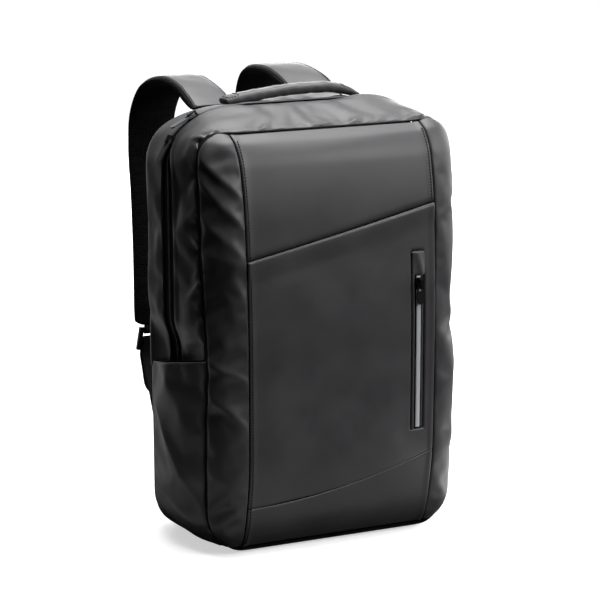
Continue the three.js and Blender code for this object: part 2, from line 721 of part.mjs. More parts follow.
// Top handle: a padded roll, flattened where it is sewn down
const handleCurves = ['lift', 'halfHeight', 'halfDepth'].map((name) => curveThrough(HANDLE, 'x', name));
const handleCentre = (x) => {
  const top = sectionAt(HANDLE_Y).top;
  return vec(x, HANDLE_Y, top + GAP + handleCurves[0](x));
};
const handleRings = range(16).map((t) => {
  const x = lerp(HANDLE[0].x, HANDLE.at(-1).x, t);
  const along = handleCentre(x + 0.5).sub(handleCentre(x - 0.5)).normalize();
  const up = along.clone().cross(vec(0, 1, 0)).negate();
  const [, halfHeight, halfDepth] = handleCurves.map((curve) => curve(x));
  return roundLoop(handleCentre(x), vec(0, 1, 0), up, halfDepth, halfHeight, 10, 2.4);
});
add('top_handle', ringSolid(handleRings), COATED);

// A flat band along a curve: its width lies across, its face is turned outwards.
function bandFrame(curve, t) {
  const along = curve.getTangentAt(t);
  const across = vec(1, 0, 0).addScaledVector(along, -along.x).normalize();
  return { at: curve.getPointAt(t), along, across, out: across.clone().cross(along) };
}
function band(curve, steps, width, low, high, sides, power) {
  const rings = range(steps).map((t) => {
    const { at, across, out } = bandFrame(curve, t);
    const middle = at.addScaledVector(out, (low + high) / 2);
    return roundLoop(middle, across, out, width(t) / 2, (high - low) / 2, sides, power);
  });
  return ringSolid(rings);
}

// Shoulder straps, ladder locks and webbing, a left and a right set
function strapCurve(side) {
  const { back, up, near, far, low, high } = STRAP_SPREAD;
  const places = STRAP.map(({ x, y, z }) => {
    const away = side > 0 ? smoothstep(y, near, far) * smoothstep(z, low, high) : 0;
    return vec(side * x, y + back * away, z + up * away);
  });
  return new THREE.CatmullRomCurve3(places);
}
const strapTilt = curveThrough(STRAP_TILT, 'along', 'tilt');

// One layer of a strap: it is tilted outwards, and pressed thin where it is sewn to the bag.
function strapLayer(curve, side, inner, outer, sides, power) {
  const length = curve.getLength();
  const rings = range(STRAP_STEPS).map((t) => {
    const { at, along, across } = bandFrame(curve, t);
    across.applyAxisAngle(along, -side * Math.atan(strapTilt(t * length) / STRAP_WIDTH_TOP));
    const out = across.clone().cross(along);
    const full = lerp(STRAP_SEAT.share, 1, smoothstep(t * length, STRAP_SEAT.from, STRAP_SEAT.to));
    const thick = (outer - inner) * full;
    const half = lerp(STRAP_WIDTH_TOP, STRAP_WIDTH_END, t) / 2;
    const middle = at.addScaledVector(out, inner + thick / 2);
    return roundLoop(middle, across, out, half, Math.abs(thick) / 2, sides, power);
  });
  return ringSolid(rings);
}
for (const [name, side] of [['left', -1], ['right', 1]]) {
  const curve = strapCurve(side);
  add('strap_pad_' + name, strapLayer(curve, side, LINING_GAP, PAD_THICK, 10, 5), STRAP_COATED);
  add('strap_lining_' + name, strapLayer(curve, side, -LINING_GAP, -LINING_THICK, 8, 6), MESH);

  const end = bandFrame(curve, 1);
  const down = end.along.clone().applyAxisAngle(end.across, LOCK.flare);
  const out = end.across.clone().cross(down);
  const barPitch = LOCK.bar + LOCK.slot;
  const top = end.at.clone().addScaledVector(end.out, PAD_THICK / 2).addScaledVector(end.along, LOCK.drop);
  const centre = top.clone().addScaledVector(down, barPitch);
  const lockFrame = new THREE.Matrix4().makeBasis(end.across, down, out).setPosition(centre);

  const w = LOCK.width / 2;
  const reach = barPitch + LOCK.bar / 2;
  const slots = [-1, 1].map((way) => {
    const middle = (way * barPitch) / 2;
    return box(-LOCK.slotWidth / 2, LOCK.slotWidth / 2, middle - LOCK.slot / 2, middle + LOCK.slot / 2);
  });
  const plate = extruded(box(-w, w, -reach, reach), LOCK.thick, slots).translate(0, 0, -LOCK.thick / 2);
  add('buckle_' + name, plate, BLACK_PLASTIC).applyMatrix4(lockFrame);

  // A loop of webbing round one bar, drawn in the plane of down and out and extruded across
  const sideways = new THREE.Matrix4().makeBasis(vec(0, 1, 0), vec(0, 0, 1), vec(1, 0, 0));
  const halfBar = LOCK.bar / 2 + GAP;
  const halfThick = LOCK.thick / 2 + GAP;
  const loopRound = (y) => {
    const rim = WEBBING.thick;
    const outer = box(y - halfBar - rim, y + halfBar + rim, -halfThick - rim, halfThick + rim);
    const hole = box(y - halfBar, y + halfBar, -halfThick, halfThick);
    const loop = extruded(outer, WEBBING.width, [hole]).translate(0, 0, -WEBBING.width / 2);
    return loop.applyMatrix4(sideways).applyMatrix4(lockFrame);
  };
  const tabStart = end.at.clone().addScaledVector(end.out, PAD_THICK / 2).addScaledVector(end.along, 2 * GAP);
  const tabEnd = centre.clone().addScaledVector(down, -barPitch - halfBar - WEBBING.thick / 2);
  const tabCurve = new THREE.CatmullRomCurve3([tabStart, tabStart.clone().lerp(tabEnd, 0.5), tabEnd]);
  const webbingWidth = () => WEBBING.width - 2 * GAP;
  const tab = band(tabCurve, 2, webbingWidth, -WEBBING.thick, WEBBING.thick, 8, 6);
  add('buckle_tab_' + name, joined(loopRound(-barPitch), tab), BLACK_TAPE);

  const innerFace = -halfThick - WEBBING.thick / 2;
  const onLock = (y, z) => vec(0, y, z).applyMatrix4(lockFrame);
  const anchorAt = (z) => {
    const y = backDepth(ANCHOR.x - WEBBING.width / 2, z) + GAP + WEBBING.thick / 2;
    return vec(side * ANCHOR.x, y, z);
  };
  const run = new THREE.CatmullRomCurve3([
    onLock(LOCK.bar / 2, innerFace),
    onLock(barPitch, innerFace - GAP),
    onLock(reach + 4, innerFace - 2),
    onLock(reach + 4, innerFace - 2).lerp(anchorAt(ANCHOR.high), 0.5),
    anchorAt(ANCHOR.high),
    anchorAt((ANCHOR.high + ANCHOR.low) / 2),
    anchorAt(ANCHOR.low),
  ]);
  const half = WEBBING.thick / 2;
  const webbing = band(run, 20, webbingWidth, -half, half, 6, 8);
  add('lower_webbing_' + name, joined(loopRound(0), webbing), BLACK_TAPE);

  const tailStart = onLock(halfBar + WEBBING.thick + GAP, -innerFace);
  const tailOver = onLock(reach + 4, -innerFace);
  const tailTip = tailOver.clone().add(vec(0, -TAIL_LENGTH * 0.3, -TAIL_LENGTH * 0.95));
  const tailBend = tailOver.clone().lerp(tailTip, 0.4);
  const tail = new THREE.CatmullRomCurve3([tailStart, tailOver, tailBend, tailTip]);
  add('webbing_tail_' + name, band(tail, 8, webbingWidth, -half, half, 6, 8), BLACK_TAPE);
}

export default bag;
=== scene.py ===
"""A laptop backpack in coated cloth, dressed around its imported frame.

Sizes are in millimetres, front towards -Y and +Z up, and each mesh is turned to metres as it is made.
"""
import math

import bpy
import numpy as np
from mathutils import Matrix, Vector


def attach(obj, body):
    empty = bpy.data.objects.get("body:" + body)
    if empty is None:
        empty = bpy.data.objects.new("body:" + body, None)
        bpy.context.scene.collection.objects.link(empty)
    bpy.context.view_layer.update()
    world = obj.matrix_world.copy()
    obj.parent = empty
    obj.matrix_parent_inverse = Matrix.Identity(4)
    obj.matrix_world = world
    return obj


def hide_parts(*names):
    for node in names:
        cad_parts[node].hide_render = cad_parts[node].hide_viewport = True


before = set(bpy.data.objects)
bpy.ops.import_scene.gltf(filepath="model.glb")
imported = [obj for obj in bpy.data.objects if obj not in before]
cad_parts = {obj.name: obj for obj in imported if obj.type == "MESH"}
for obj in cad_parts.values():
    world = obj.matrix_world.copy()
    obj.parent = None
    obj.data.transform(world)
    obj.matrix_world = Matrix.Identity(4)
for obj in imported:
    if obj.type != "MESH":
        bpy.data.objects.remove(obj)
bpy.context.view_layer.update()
MM = 0.001

# Viewpoint: a long lens a little above the bag and to its left, which takes in the front, the left side
# and the top. The lens is shifted so that the bag stands where the photograph has it.
VIEW_AZIMUTH = math.radians(-28.5)
VIEW_ELEVATION = math.radians(11.5)
VIEW_DISTANCE = 2.842
VIEW_TARGET = Vector((0, 0, 0.225))
LENS = 162
FRAME_PX = 600
TARGET_PX = (302, 318.5)


def placed(name, data):
    """A new object in the scene."""
    made = bpy.data.objects.new(name, data)
    bpy.context.scene.collection.objects.link(made)
    return made


def aimed(name, data, way):
    """A new camera or light in the scene, looking along a direction."""
    made = placed(name, data)
    made.rotation_mode = "QUATERNION"
    made.rotation_quaternion = way.to_track_quat("-Z", "Y")
    return made


towards_camera = Vector((
    math.sin(VIEW_AZIMUTH) * math.cos(VIEW_ELEVATION),
    -math.cos(VIEW_AZIMUTH) * math.cos(VIEW_ELEVATION),
    math.sin(VIEW_ELEVATION),
))
camera = aimed("camera", bpy.data.cameras.new("camera"), -towards_camera)
bpy.context.scene.camera = camera
camera.location = VIEW_TARGET + towards_camera * VIEW_DISTANCE
camera.data.lens = LENS
camera.data.sensor_width = 36
camera.data.shift_x = (FRAME_PX / 2 - TARGET_PX[0]) / FRAME_PX
camera.data.shift_y = (TARGET_PX[1] - FRAME_PX / 2) / FRAME_PX
camera.data.clip_end = 50


# Studio: a glowing white table with a softbox over the bag, a white backdrop that shines from behind over its
# top, white walls in front and on the right, and the bounce of the table close to the foot of the bag.
FLOOR_SIZE = 40
FLOOR_WHITE = "#c6c6c7"
FLOOR_GLOW = {"near": 0.57, "far": 0.85, "from": 0.3, "to": 2.0}
OVERHEAD_LIGHT = {"strength": 0.9, "angle": 110, "from": (0.4, 0.0, 1.0)}
ROOM_GREY = "#c9cacc"
ROOM_STRENGTH = 0.01
COVE_STRENGTH = 1.8
SOFTBOXES = [
    # name, place, aimed at, width, height, power
    ("top_softbox", (0.2, 0.1, 1.8), (0.0, 0.0, 0.3), 1.4, 1.4, 55),
    ("high_backdrop", (1.1, 2.3, 2.2), (0.0, 0.0, 0.45), 4.4, 2.6, 30),
    ("low_backdrop", (1.9, 2.5, 0.7), (0.0, 0.0, 0.45), 2.8, 1.2, 75),
    ("right_wall", (2.8, 0.2, 0.9), (0.0, 0.0, 0.25), 2.5, 1.6, 50),
    ("front_wall", (1.35, -2.0, 1.6), (0.0, 0.0, 0.35), 2.2, 1.2, 63),
    ("front_bounce", (0.08, -0.21, 0.004), (0.08, -0.21, 1.0), 0.6, 0.2, 0.21),
    ("left_bounce", (-0.27, 0.02, 0.004), (-0.27, 0.02, 1.0), 0.2, 0.3, 0.08),
    ("rear_bounce", (-0.24, 0.8, 0.004), (-0.24, 0.8, 1.0), 0.36, 1.0, 0.75),
    ("left_backdrop", (-0.35, 2.3, 0.3), (0.0, 0.0, 0.2), 0.8, 0.5, 1.8),
    ("right_bounce", (0.3, -0.06, 0.004), (0.3, -0.06, 1.0), 0.2, 0.3, 0.7),
]


def linear(code):
    """The linear colour of an sRGB hex code."""
    parts = [int(code[k:k + 2], 16) / 255 for k in (1, 3, 5)]
    return (*[c / 12.92 if c <= 0.04045 else ((c + 0.055) / 1.055) ** 2.4 for c in parts], 1.0)


def add_node(tree, kind, inputs=None, **settings):
    """Adds a node with its settings. An input is a value, or another node's output to link."""
    made = tree.nodes.new("ShaderNode" + kind)
    for name, value in settings.items():
        setattr(made, name, value)
    for name, value in (inputs or {}).items():
        if isinstance(value, bpy.types.NodeSocket):
            tree.links.new(value, made.inputs[name])
        else:
            made.inputs[name].default_value = value
    return made


def blank_material(name):
    """A new material, and its node tree, which is empty."""
    made = bpy.data.materials.new(name)
    made.use_nodes = True
    made.node_tree.nodes.clear()
    return made, made.node_tree


def add_surface(tree, inputs):
    """Gives a material its surface: a principled shader with these values and links."""
    surface = add_node(tree, "BsdfPrincipled", inputs)
    add_node(tree, "OutputMaterial", {"Surface": surface.outputs["BSDF"]})


# Painted light: the table glows by itself, less near the bag and more far from it, in place of studio light
# falling on it.
glowing_table_white, tree = blank_material("glowing_white_laminate")
place = add_node(tree, "TexCoord").outputs["Object"]
away = add_node(tree, "VectorMath", {0: place}, operation="LENGTH")
glow = add_node(tree, "MapRange", {
    "Value": away.outputs["Value"],
    "From Min": FLOOR_GLOW["from"],
    "From Max": FLOOR_GLOW["to"],
    "To Min": FLOOR_GLOW["near"],
    "To Max": FLOOR_GLOW["far"],
}, interpolation_type="SMOOTHSTEP")
add_surface(tree, {
    "Base Color": linear(FLOOR_WHITE),
    "Roughness": 0.7,
    "Emission Color": (1, 1, 1, 1),
    "Emission Strength": glow.outputs["Result"],
})

half_floor = FLOOR_SIZE / 2
floor_mesh = bpy.data.meshes.new("floor")
floor_corners = [(-1, -1), (1, -1), (1, 1), (-1, 1)]
floor_mesh.from_pydata([(x * half_floor, y * half_floor, 0) for x, y in floor_corners], [], [(0, 1, 2, 3)])
floor_mesh.materials.append(glowing_table_white)
floor = placed("floor", floor_mesh)
floor.visible_diffuse = False
floor.visible_glossy = False

sun = bpy.data.lights.new("overhead_light", "SUN")
sun.energy = OVERHEAD_LIGHT["strength"]
sun.angle = math.radians(OVERHEAD_LIGHT["angle"])
aimed("overhead_light", sun, -Vector(OVERHEAD_LIGHT["from"]))

for name, place, aim, width, height, power in SOFTBOXES:
    lamp = aimed(name, bpy.data.lights.new(name, "AREA"), Vector(aim) - Vector(place))
    lamp.data.shape = "RECTANGLE"
    lamp.data.size = width
    lamp.data.size_y = height
    lamp.data.energy = power
    lamp.location = place
    lamp.visible_camera = False

# The room is a white cove to the eye, and gives the bag almost no light of its own.
room = bpy.data.worlds.new("room")
bpy.context.scene.world = room
room.use_nodes = True
tree = room.node_tree
seen = add_node(tree, "LightPath").outputs["Is Camera Ray"]
cove = add_node(tree, "MapRange", {"Value": seen, "To Min": ROOM_STRENGTH, "To Max": COVE_STRENGTH})
tree.nodes["Background"].inputs["Color"].default_value = linear(ROOM_GREY)
tree.links.new(cove.outputs["Result"], tree.nodes["Background"].inputs["Strength"])
bpy.context.scene.view_settings.view_transform = "Standard"


# Gusset: one band of coated cloth round the sides and over the top, in a front and a rear half with the
# main zip between them. It is sewn to the front along a deep crease, where the cloth turns in and puckers.
GAP = 0.3
SEAM_GAP = 0.4
CREASE_GAP = {"side": 4.4, "top": 3.4, "uneven": 1.1, "tuck_u": 4.45, "tuck": 5.0, "tuck_half": 0.09}
CREASE_NARROWS = (4.2, 4.9)
CREASE_WAVES = {"wavelength": 16, "seed": 5}
CREASE_PLACES = {"apart": 90, "stretch": 95}
MIDDLE_HEIGHT = 225
TAPER = 0.014
FOOT_TOP = 40
POCKET_TOP = 205
SINK_TOP = 240
FRONT_Y = -50
ZIP_Y = 16
POCKET_BACK_Y = 60
BACK_Y = 82
SECTIONS = [
    # depth, half width, bottom, top, corner width, corner height, squareness of the corner
    (FRONT_Y, 143, 6, 434, 34, 34, 2.8),
    (-38, 144, 1, 436, 38, 36, 2.7),
    (-15, 146, 0, 444, 62, 50, 2.35),
    (ZIP_Y, 147, 0, 453, 82, 60, 2.2),
    (64, 146, 0, 443, 72, 52, 2.45),
    (76, 139, 0, 437, 68, 51, 2.4),
    (BACK_Y, 128, 6, 428, 60, 45, 2.3),
]
CREASE = [
    # height and depth of the crease
    (6, -65), (60, -57), (140, -59), (195, -65), (260, -57), (340, -51), (434, -47),
]
POCKET_INSET = 2.4
POCKET_SINK = 5.5
TOP_U = 6
SIDES = {"left": -1, "right": 1}
GUSSET_END_U = 3 - 1 / 6
GUSSET_WIDTH = 62
ZIP_GAP_SIDE = 12
ZIP_GAP_TOP = 2.0
ZIP_CLOSES = (3.85, 4.35)
CLOTH = 1.3
GRID = 3.2
SEAM_ROWS = (0.9, 2.0, 3.6)
CREASE_SINK = {"radius": 3, "depth": 4.0}
STRIP_TURN = {"radius": 2.4, "depth": 5.0}
HEM = {"radius": 1.6, "depth": 1.2}
BACK_TURN = {"radius": 5, "depth": 2}
ZIP_LIP = {"side": 0.7, "front_top": -0.4, "rear_top": 1.8, "corner": (4.9, 5.2)}
ZIP_LIP_FADES = {"front": (5, 9), "rear": (6, 24)}
FRONT_SLACK = {"crease": (4, 22), "zip": (2, 14)}
REAR_SLACK = {"zip": (2, 16), "back": (3, 18)}
GUSSET_SETTLE = {"front": {"grow": 0.006, "cap": 3}, "rear": {"grow": 0.005, "cap": 3}}
PUCKERS = {"pitch": 8, "width": 4.5, "height": 3.4, "reach": 11}
SETTLE = {"frames": 20, "quality": 5, "stiffness": 15, "bending": 5, "mass": 0.3}
SHOULDER = {"u": 4.75, "width": 0.45, "rise": 4}
MOUTH_FOLD = {"at_crease": 228, "at_zip": 211, "width": 7, "height": 2.6}
GUSSET_RIPPLES = {
    # height, wavelength, seed and upright stretch
    "front": [(0.6, 62, 11, 1.5), (0.3, 26, 12, 1.4)],
    "rear": [(0.8, 70, 21, 1.6), (0.3, 28, 22, 1.4)],
}
LUMP = {"x": 24, "y": 48, "half": 64, "deep": 15, "rise": 8.5}
CLOTH_GREY = "#2f2f31"
CLOTH_GREY_DARK = "#28282a"
CLOTH_WORN_HIGHLIGHT = "#434346"
CLOTH_GRAIN = 0.9
CLOTH_MOTTLE = 45


def curve_through(x, y):
    """A smooth function through points that never swings past them."""
    x = np.asarray(x, float)
    y = np.asarray(y, float)
    slope = np.diff(y) / np.diff(x)
    before = np.r_[slope[0], slope]
    after = np.r_[slope, slope[-1]]
    level = before * after <= 0
    tangent = np.where(level, 0, 2 * before * after / np.where(level, 1, before + after))

    def at(value):
        value = np.clip(value, x[0], x[-1])
        i = np.clip(np.searchsorted(x, value, side="right") - 1, 0, len(x) - 2)
        step = x[i + 1] - x[i]
        t = (value - x[i]) / step
        rise = y[i] * (1 + 2 * t) * (1 - t) ** 2 + y[i + 1] * t * t * (3 - 2 * t)
        return rise + step * (tangent[i] * t * (1 - t) ** 2 - tangent[i + 1] * t * t * (1 - t))

    return at


def lerp(a, b, t):
    return a + (b - a) * t


def smoothstep(value, low, high):
    t = np.clip((value - low) / (high - low), 0, 1)
    return t * t * (3 - 2 * t)


def curves_of(table):
    """A smooth curve for each further column of a table, by its first column."""
    first, *columns = zip(*table)
    return [curve_through(first, column) for column in columns]


section_curves = curves_of(SECTIONS)
crease_depth = curves_of(CREASE)[0]


def taper(z):
    return 1 + TAPER * (z - MIDDLE_HEIGHT) / MIDDLE_HEIGHT


def outline(u, depth):
    """Half the bag's outline at a depth, by stretches of u: base, foot corner, low side, high side,
    top corner and top, from 0 to 6."""
    half, bottom, top, corner_x, corner_z, square = [curve(depth) for curve in section_curves]
    foot = FOOT_TOP - bottom
    stretch = np.clip(np.floor(u), 0, 5).astype(int)
    q = u - stretch
    sine = np.sin(q * np.pi / 2)
    cosine = np.clip(np.cos(q * np.pi / 2), 0, 1)
    power = 2 / square
    flat = half - corner_x
    on_side = half + 0 * q
    x = np.choose(stretch, [
        q * (half - foot),
        half - foot * (1 - sine),
        on_side,
        on_side,
        flat + corner_x * cosine ** power,
        flat * (1 - q),
    ])
    z = np.choose(stretch, [
        bottom + 0 * q,
        FOOT_TOP - foot * cosine,
        lerp(FOOT_TOP, POCKET_TOP, q),
        lerp(POCKET_TOP, top - corner_z, q),
        top - corner_z * (1 - np.abs(sine) ** power),
        top + 0 * q,
    ])
    return x * taper(z), z


def crease_gap(side, u):
    """Width of the open crease: uneven, and wider at the tuck in each upper corner."""
    gap = lerp(CREASE_GAP["side"], CREASE_GAP["top"], smoothstep(u, *CREASE_NARROWS))
    gap = gap + CREASE_GAP["tuck"] * np.exp(-((u - CREASE_GAP["tuck_u"]) / CREASE_GAP["tuck_half"]) ** 2)
    place = np.stack([CREASE_PLACES["apart"] * side + 0 * u, CREASE_PLACES["stretch"] * u, 0 * u], axis=-1)
    return gap + CREASE_GAP["uneven"] * ripple(place, **CREASE_WAVES)


def skin_from_crease(side, u, share, end_y):
    """Points of the bag's skin from the crease, at share 0, to a depth, at share 1."""
    start = crease_depth(outline(u, np.full_like(u, FRONT_Y))[1]) + crease_gap(side, u)
    y = lerp(start, end_y, share)
    x, z = outline(u, y + (FRONT_Y - start) * (1 - share) ** 2)
    return np.stack([side * x, y, z], axis=-1)


def skin_at(side, u, y):
    """Points of the bag's skin at a depth."""
    x, z = outline(u, y)
    return np.stack([side * x, y + 0 * x, z], axis=-1)


def from_top(a):
    """Side and u of a signed place along the outline, counted from the middle of the top."""
    return np.where(a < 0, -1.0, 1.0), TOP_U - np.abs(a)


def pocket_inset(u, y):
    """How far the wall behind a side pocket lies inside the outline."""
    z = lerp(FOOT_TOP, POCKET_TOP, u - 2)
    above = np.where(u < 3, 1, 1 - smoothstep(outline(u, y)[1], POCKET_TOP, SINK_TOP))
    rim = smoothstep(u, 7 / 6, 8 / 6) * (1 - smoothstep(y, POCKET_BACK_Y + 1, POCKET_BACK_Y + 7))
    across = np.clip((y - FRONT_Y) / (POCKET_BACK_Y - FRONT_Y), 0, 1)
    sink = np.sin(np.pi * across) ** 0.7 * smoothstep(z, FOOT_TOP - 20, FOOT_TOP + 60)
    return above * rim * (POCKET_INSET + POCKET_SINK * sink)


def zip_half_gap(u):
    return lerp(ZIP_GAP_SIDE, ZIP_GAP_TOP, smoothstep(u, *ZIP_CLOSES))


def run_of(line):
    """Distances along a line of points."""
    return np.r_[0, np.cumsum(np.linalg.norm(np.diff(line, axis=0), axis=1))]


def points_at(spots, line):
    """Points at distances along a line of points."""
    run = run_of(line)
    return np.stack([np.interp(spots, run, line[:, k]) for k in range(3)], axis=1)


def spaced(at, share, start, end, pitch=GRID):
    """Places from start to end on a surface, evenly spaced in millimetres at one share across it, and closer
    at both ends."""
    t = np.linspace(start, end, 3000)
    run = run_of(at(t, np.full_like(t, share)))
    return np.interp(marks(run[-1], pitch), run, t)


def marks(length, pitch=GRID):
    """Distances from 0 to length at a pitch, with closer ones along both edges, which are sewn."""
    low = SEAM_ROWS[-1]
    high = length - low
    middle = np.linspace(low, high, max(round((high - low) / pitch), 2) + 1)
    return np.r_[0, SEAM_ROWS[:-1], middle, [length - e for e in SEAM_ROWS[-2::-1]], length]


BAG_CENTRE = np.array([0, 0, MIDDLE_HEIGHT])


def outward(p):
    """Unit normals of a grid of points, turned away from the middle of the bag."""
    n = np.cross(np.gradient(p, axis=0), np.gradient(p, axis=1))
    n /= np.maximum(np.linalg.norm(n, axis=-1, keepdims=True), 1e-9)
    return n if np.mean(np.sum(n * (p - BAG_CENTRE), axis=-1)) > 0 else -n


def edge_reach(p):
    """Distances of the points of a grid from its first and last row, and first and last column."""
    down = np.linalg.norm(np.diff(p, axis=0), axis=-1)
    from_first = np.concatenate([np.zeros((1, p.shape[1])), np.cumsum(down, axis=0)])
    along = np.linalg.norm(np.diff(p, axis=1), axis=-1)
    from_left = np.concatenate([np.zeros((p.shape[0], 1)), np.cumsum(along, axis=1)], axis=1)
    return from_first, from_first[-1] - from_first, from_left, from_left[:, -1:] - from_left


def turn_in(d, radius, depth):
    """How far cloth turns in at a distance d from its seam."""
    inside = np.clip(1 - d / radius, 0, 1)
    return -depth * (1 - np.sqrt(1 - inside ** 2))


def sink(d, radius, depth):
    """How far cloth slopes down into a deep crease at a distance d from it."""
    return -depth * np.clip(1 - d / radius, 0, 1) ** 1.6


def ripple(p, wavelength, seed, stretch=(1, 1, 1)):
    """A smooth uneven field over points, about -1 to 1 and the same on every run."""
    waves = 9
    random = np.random.default_rng(seed)
    total = np.zeros(p.shape[:-1])
    for _ in range(waves):
        way = random.normal(size=3)
        way /= np.linalg.norm(way)
        turn = 2 * np.pi / (wavelength * random.uniform(0.7, 1.6))
        total += np.cos((p / stretch) @ way * turn + random.uniform(0, 2 * np.pi))
    return total / waves ** 0.5


def ripples(p, rows, shift=0):
    """Several ripples together: height, wavelength, seed and upright stretch of each."""
    return sum(height * ripple(p, wave, seed + shift, (1, 1, tall)) for height, wave, seed, tall in rows)


def puckers(along, away, length, seed):
    """Sharp gathers of cloth that fan out from a seam: distance along it and away from it."""
    random = np.random.default_rng(seed)
    total = np.zeros(along.shape)
    for place in np.arange(0, length, PUCKERS["pitch"]):
        centre = place + random.uniform(-5, 5)
        slant = random.uniform(-0.9, 0.9)
        width = PUCKERS["width"] * random.uniform(0.6, 1.6)
        height = PUCKERS["height"] * random.uniform(-0.7, 1.2)
        reach = PUCKERS["reach"] * random.uniform(0.5, 1.6)
        off = np.abs(along - centre - slant * away) / (width * (0.6 + away / reach))
        total += height * np.clip(1 - off, 0, 1) * np.exp(-(away / reach) ** 2)
    return total * smoothstep(away, 0.0, 2.6)


def settle(p, grow, cap):
    """Lets a grid of cloth settle by simulation with its seams held. It is cut a little too large for
    them, so it wrinkles, and no point moves farther than the cap."""
    rows, columns = p.shape[:2]
    trial = mesh_object("trial_cloth", p.reshape(-1, 3), grid_faces(rows, columns), coated_cloth)
    held = np.ones((rows, columns), bool)
    held[2:-2, 2:-2] = False
    trial.vertex_groups.new(name="held").add(np.flatnonzero(held).tolist(), 1.0, "REPLACE")
    cloth = trial.modifiers.new("settling", "CLOTH")
    cloth.point_cache.frame_end = SETTLE["frames"]
    cloth.settings.quality = SETTLE["quality"]
    cloth.settings.mass = SETTLE["mass"]
    cloth.settings.tension_stiffness = SETTLE["stiffness"]
    cloth.settings.compression_stiffness = SETTLE["stiffness"]
    cloth.settings.shear_stiffness = SETTLE["stiffness"] / 2
    cloth.settings.bending_stiffness = SETTLE["bending"]
    cloth.settings.vertex_group_mass = "held"
    cloth.settings.shrink_min = -grow
    cloth.settings.effector_weights.gravity = 0
    for number in range(1, SETTLE["frames"] + 1):
        bpy.context.scene.frame_set(number)
    settled = trial.evaluated_get(bpy.context.evaluated_depsgraph_get()).data
    places = np.empty(rows * columns * 3, np.float32)
    settled.vertices.foreach_get("co", places)
    bpy.context.scene.frame_set(1)
    bpy.data.meshes.remove(trial.data)
    moved = places.reshape(p.shape) / MM - p
    far = np.linalg.norm(moved, axis=-1, keepdims=True)
    moved *= np.minimum(1, cap / np.maximum(far, 1e-6))
    moved[1:-1] = (moved[:-2] + 2 * moved[1:-1] + moved[2:]) / 4
    moved[:, 1:-1] = (moved[:, :-2] + 2 * moved[:, 1:-1] + moved[:, 2:]) / 4
    return p + moved


def grid_faces(rows, columns, kept=None, loop=False):
    """Quads of a grid of points, without those that are not kept."""
    index = np.arange(rows * columns).reshape(rows, columns)
    if loop:
        index = np.c_[index, index[:, :1]]
    quads = np.stack([index[:-1, :-1], index[1:, :-1], index[1:, 1:], index[:-1, 1:]], axis=-1)
    return quads[kept] if kept is not None else quads.reshape(-1, 4)


def mesh_object(name, points, faces, look, fields=None):
    """A smooth-shaded object from points in millimetres, with named numbers on its points."""
    mesh = bpy.data.meshes.new(name)
    mesh.from_pydata((np.asarray(points, float) * MM).tolist(), [], [list(map(int, f)) for f in faces])
    for key, values in (fields or {}).items():
        field = mesh.attributes.new(key, "FLOAT", "POINT")
        field.data.foreach_set("value", np.asarray(values, np.float32).ravel())
    mesh.materials.append(look)
    mesh.shade_smooth()
    return placed(name, mesh)


def smoothed(piece):
    """Rounds a mesh off between its points."""
    rounding = piece.modifiers.new("smooth", "SUBSURF")
    rounding.levels = 1
    rounding.render_levels = 1


def thickened(piece, thick):
    """Gives a sheet its thickness, towards the inside."""
    wall = piece.modifiers.new("cloth", "SOLIDIFY")
    wall.thickness = thick * MM
    wall.offset = -1


def cloth_piece(name, p, look, slot, *nodes, thick=CLOTH, kept=None):
    """A sewn piece of cloth from a grid of points: smoothed, as thick as the cloth, and fixed to the bag."""
    p = p.copy()
    p[..., 2] = np.maximum(p[..., 2], 0.1)
    out = outward(p)
    turned = np.cross(np.gradient(p, axis=0), np.gradient(p, axis=1))
    faces = grid_faces(*p.shape[:2], kept)
    if np.mean(np.sum(turned * out, axis=-1)) < 0:
        faces = faces[:, ::-1]
    from_first, _, from_left, _ = edge_reach(p)
    made = mesh_object(name, p.reshape(-1, 3), faces, look, {"along": from_first, "across": from_left})
    smoothed(made)
    thickened(made, thick)
    return fix(made, slot, *nodes)


def fix(piece, slot, *nodes):
    """A finished piece rides on the bag and stands for its solids. The slot is not used."""
    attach(piece, "bag")
    if nodes:
        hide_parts(*nodes)
    return piece


# Coated polyester: a tight weave under a matt polyurethane skin. The eye sees a dark satin grey with a very
# fine grain, a slight unevenness from the press rolls, and paler sharp folds: partly rubbed skin, partly a
# painted highlight.
coated_cloth, tree = blank_material("coated_polyester")
place = add_node(tree, "TexCoord").outputs["Object"]
grain = add_node(tree, "TexNoise", {"Vector": place, "Scale": 1 / (CLOTH_GRAIN * MM), "Detail": 3.0})
mottle = add_node(tree, "TexNoise", {"Vector": place, "Scale": 1 / (CLOTH_MOTTLE * MM), "Detail": 4.0})
tone = add_node(tree, "ValToRGB", {"Fac": mottle.outputs["Fac"]})
tone.color_ramp.elements[0].position = 0.3
tone.color_ramp.elements[0].color = linear(CLOTH_GREY_DARK)
tone.color_ramp.elements[1].position = 0.7
tone.color_ramp.elements[1].color = linear(CLOTH_GREY)
# Paler where the surface is sharp and convex: partly wear of the skin, partly a painted highlight on folds
# and edges.
fold = add_node(tree, "NewGeometry").outputs["Pointiness"]
wear_and_highlight = add_node(tree, "MapRange", {"Value": fold, "From Min": 0.52, "From Max": 0.6, "To Max": 0.5})
colour = add_node(tree, "Mix", {0: wear_and_highlight.outputs["Result"], 6: tone.outputs["Color"], 7: linear(CLOTH_WORN_HIGHLIGHT)},
                  data_type="RGBA")
gloss = add_node(tree, "MapRange", {"Value": mottle.outputs["Fac"], "From Min": 0.3, "From Max": 0.7,
                                    "To Min": 0.43, "To Max": 0.52})
skin = add_node(tree, "Bump", {"Height": grain.outputs["Fac"], "Strength": 0.25, "Distance": 0.08 * MM})
add_surface(tree, {
    "Base Color": colour.outputs[2],
    "Roughness": gloss.outputs["Result"],
    "IOR": 1.46,
    "Sheen Weight": 0.08,
    "Sheen Roughness": 0.4,
    "Normal": skin.outputs["Normal"],
})


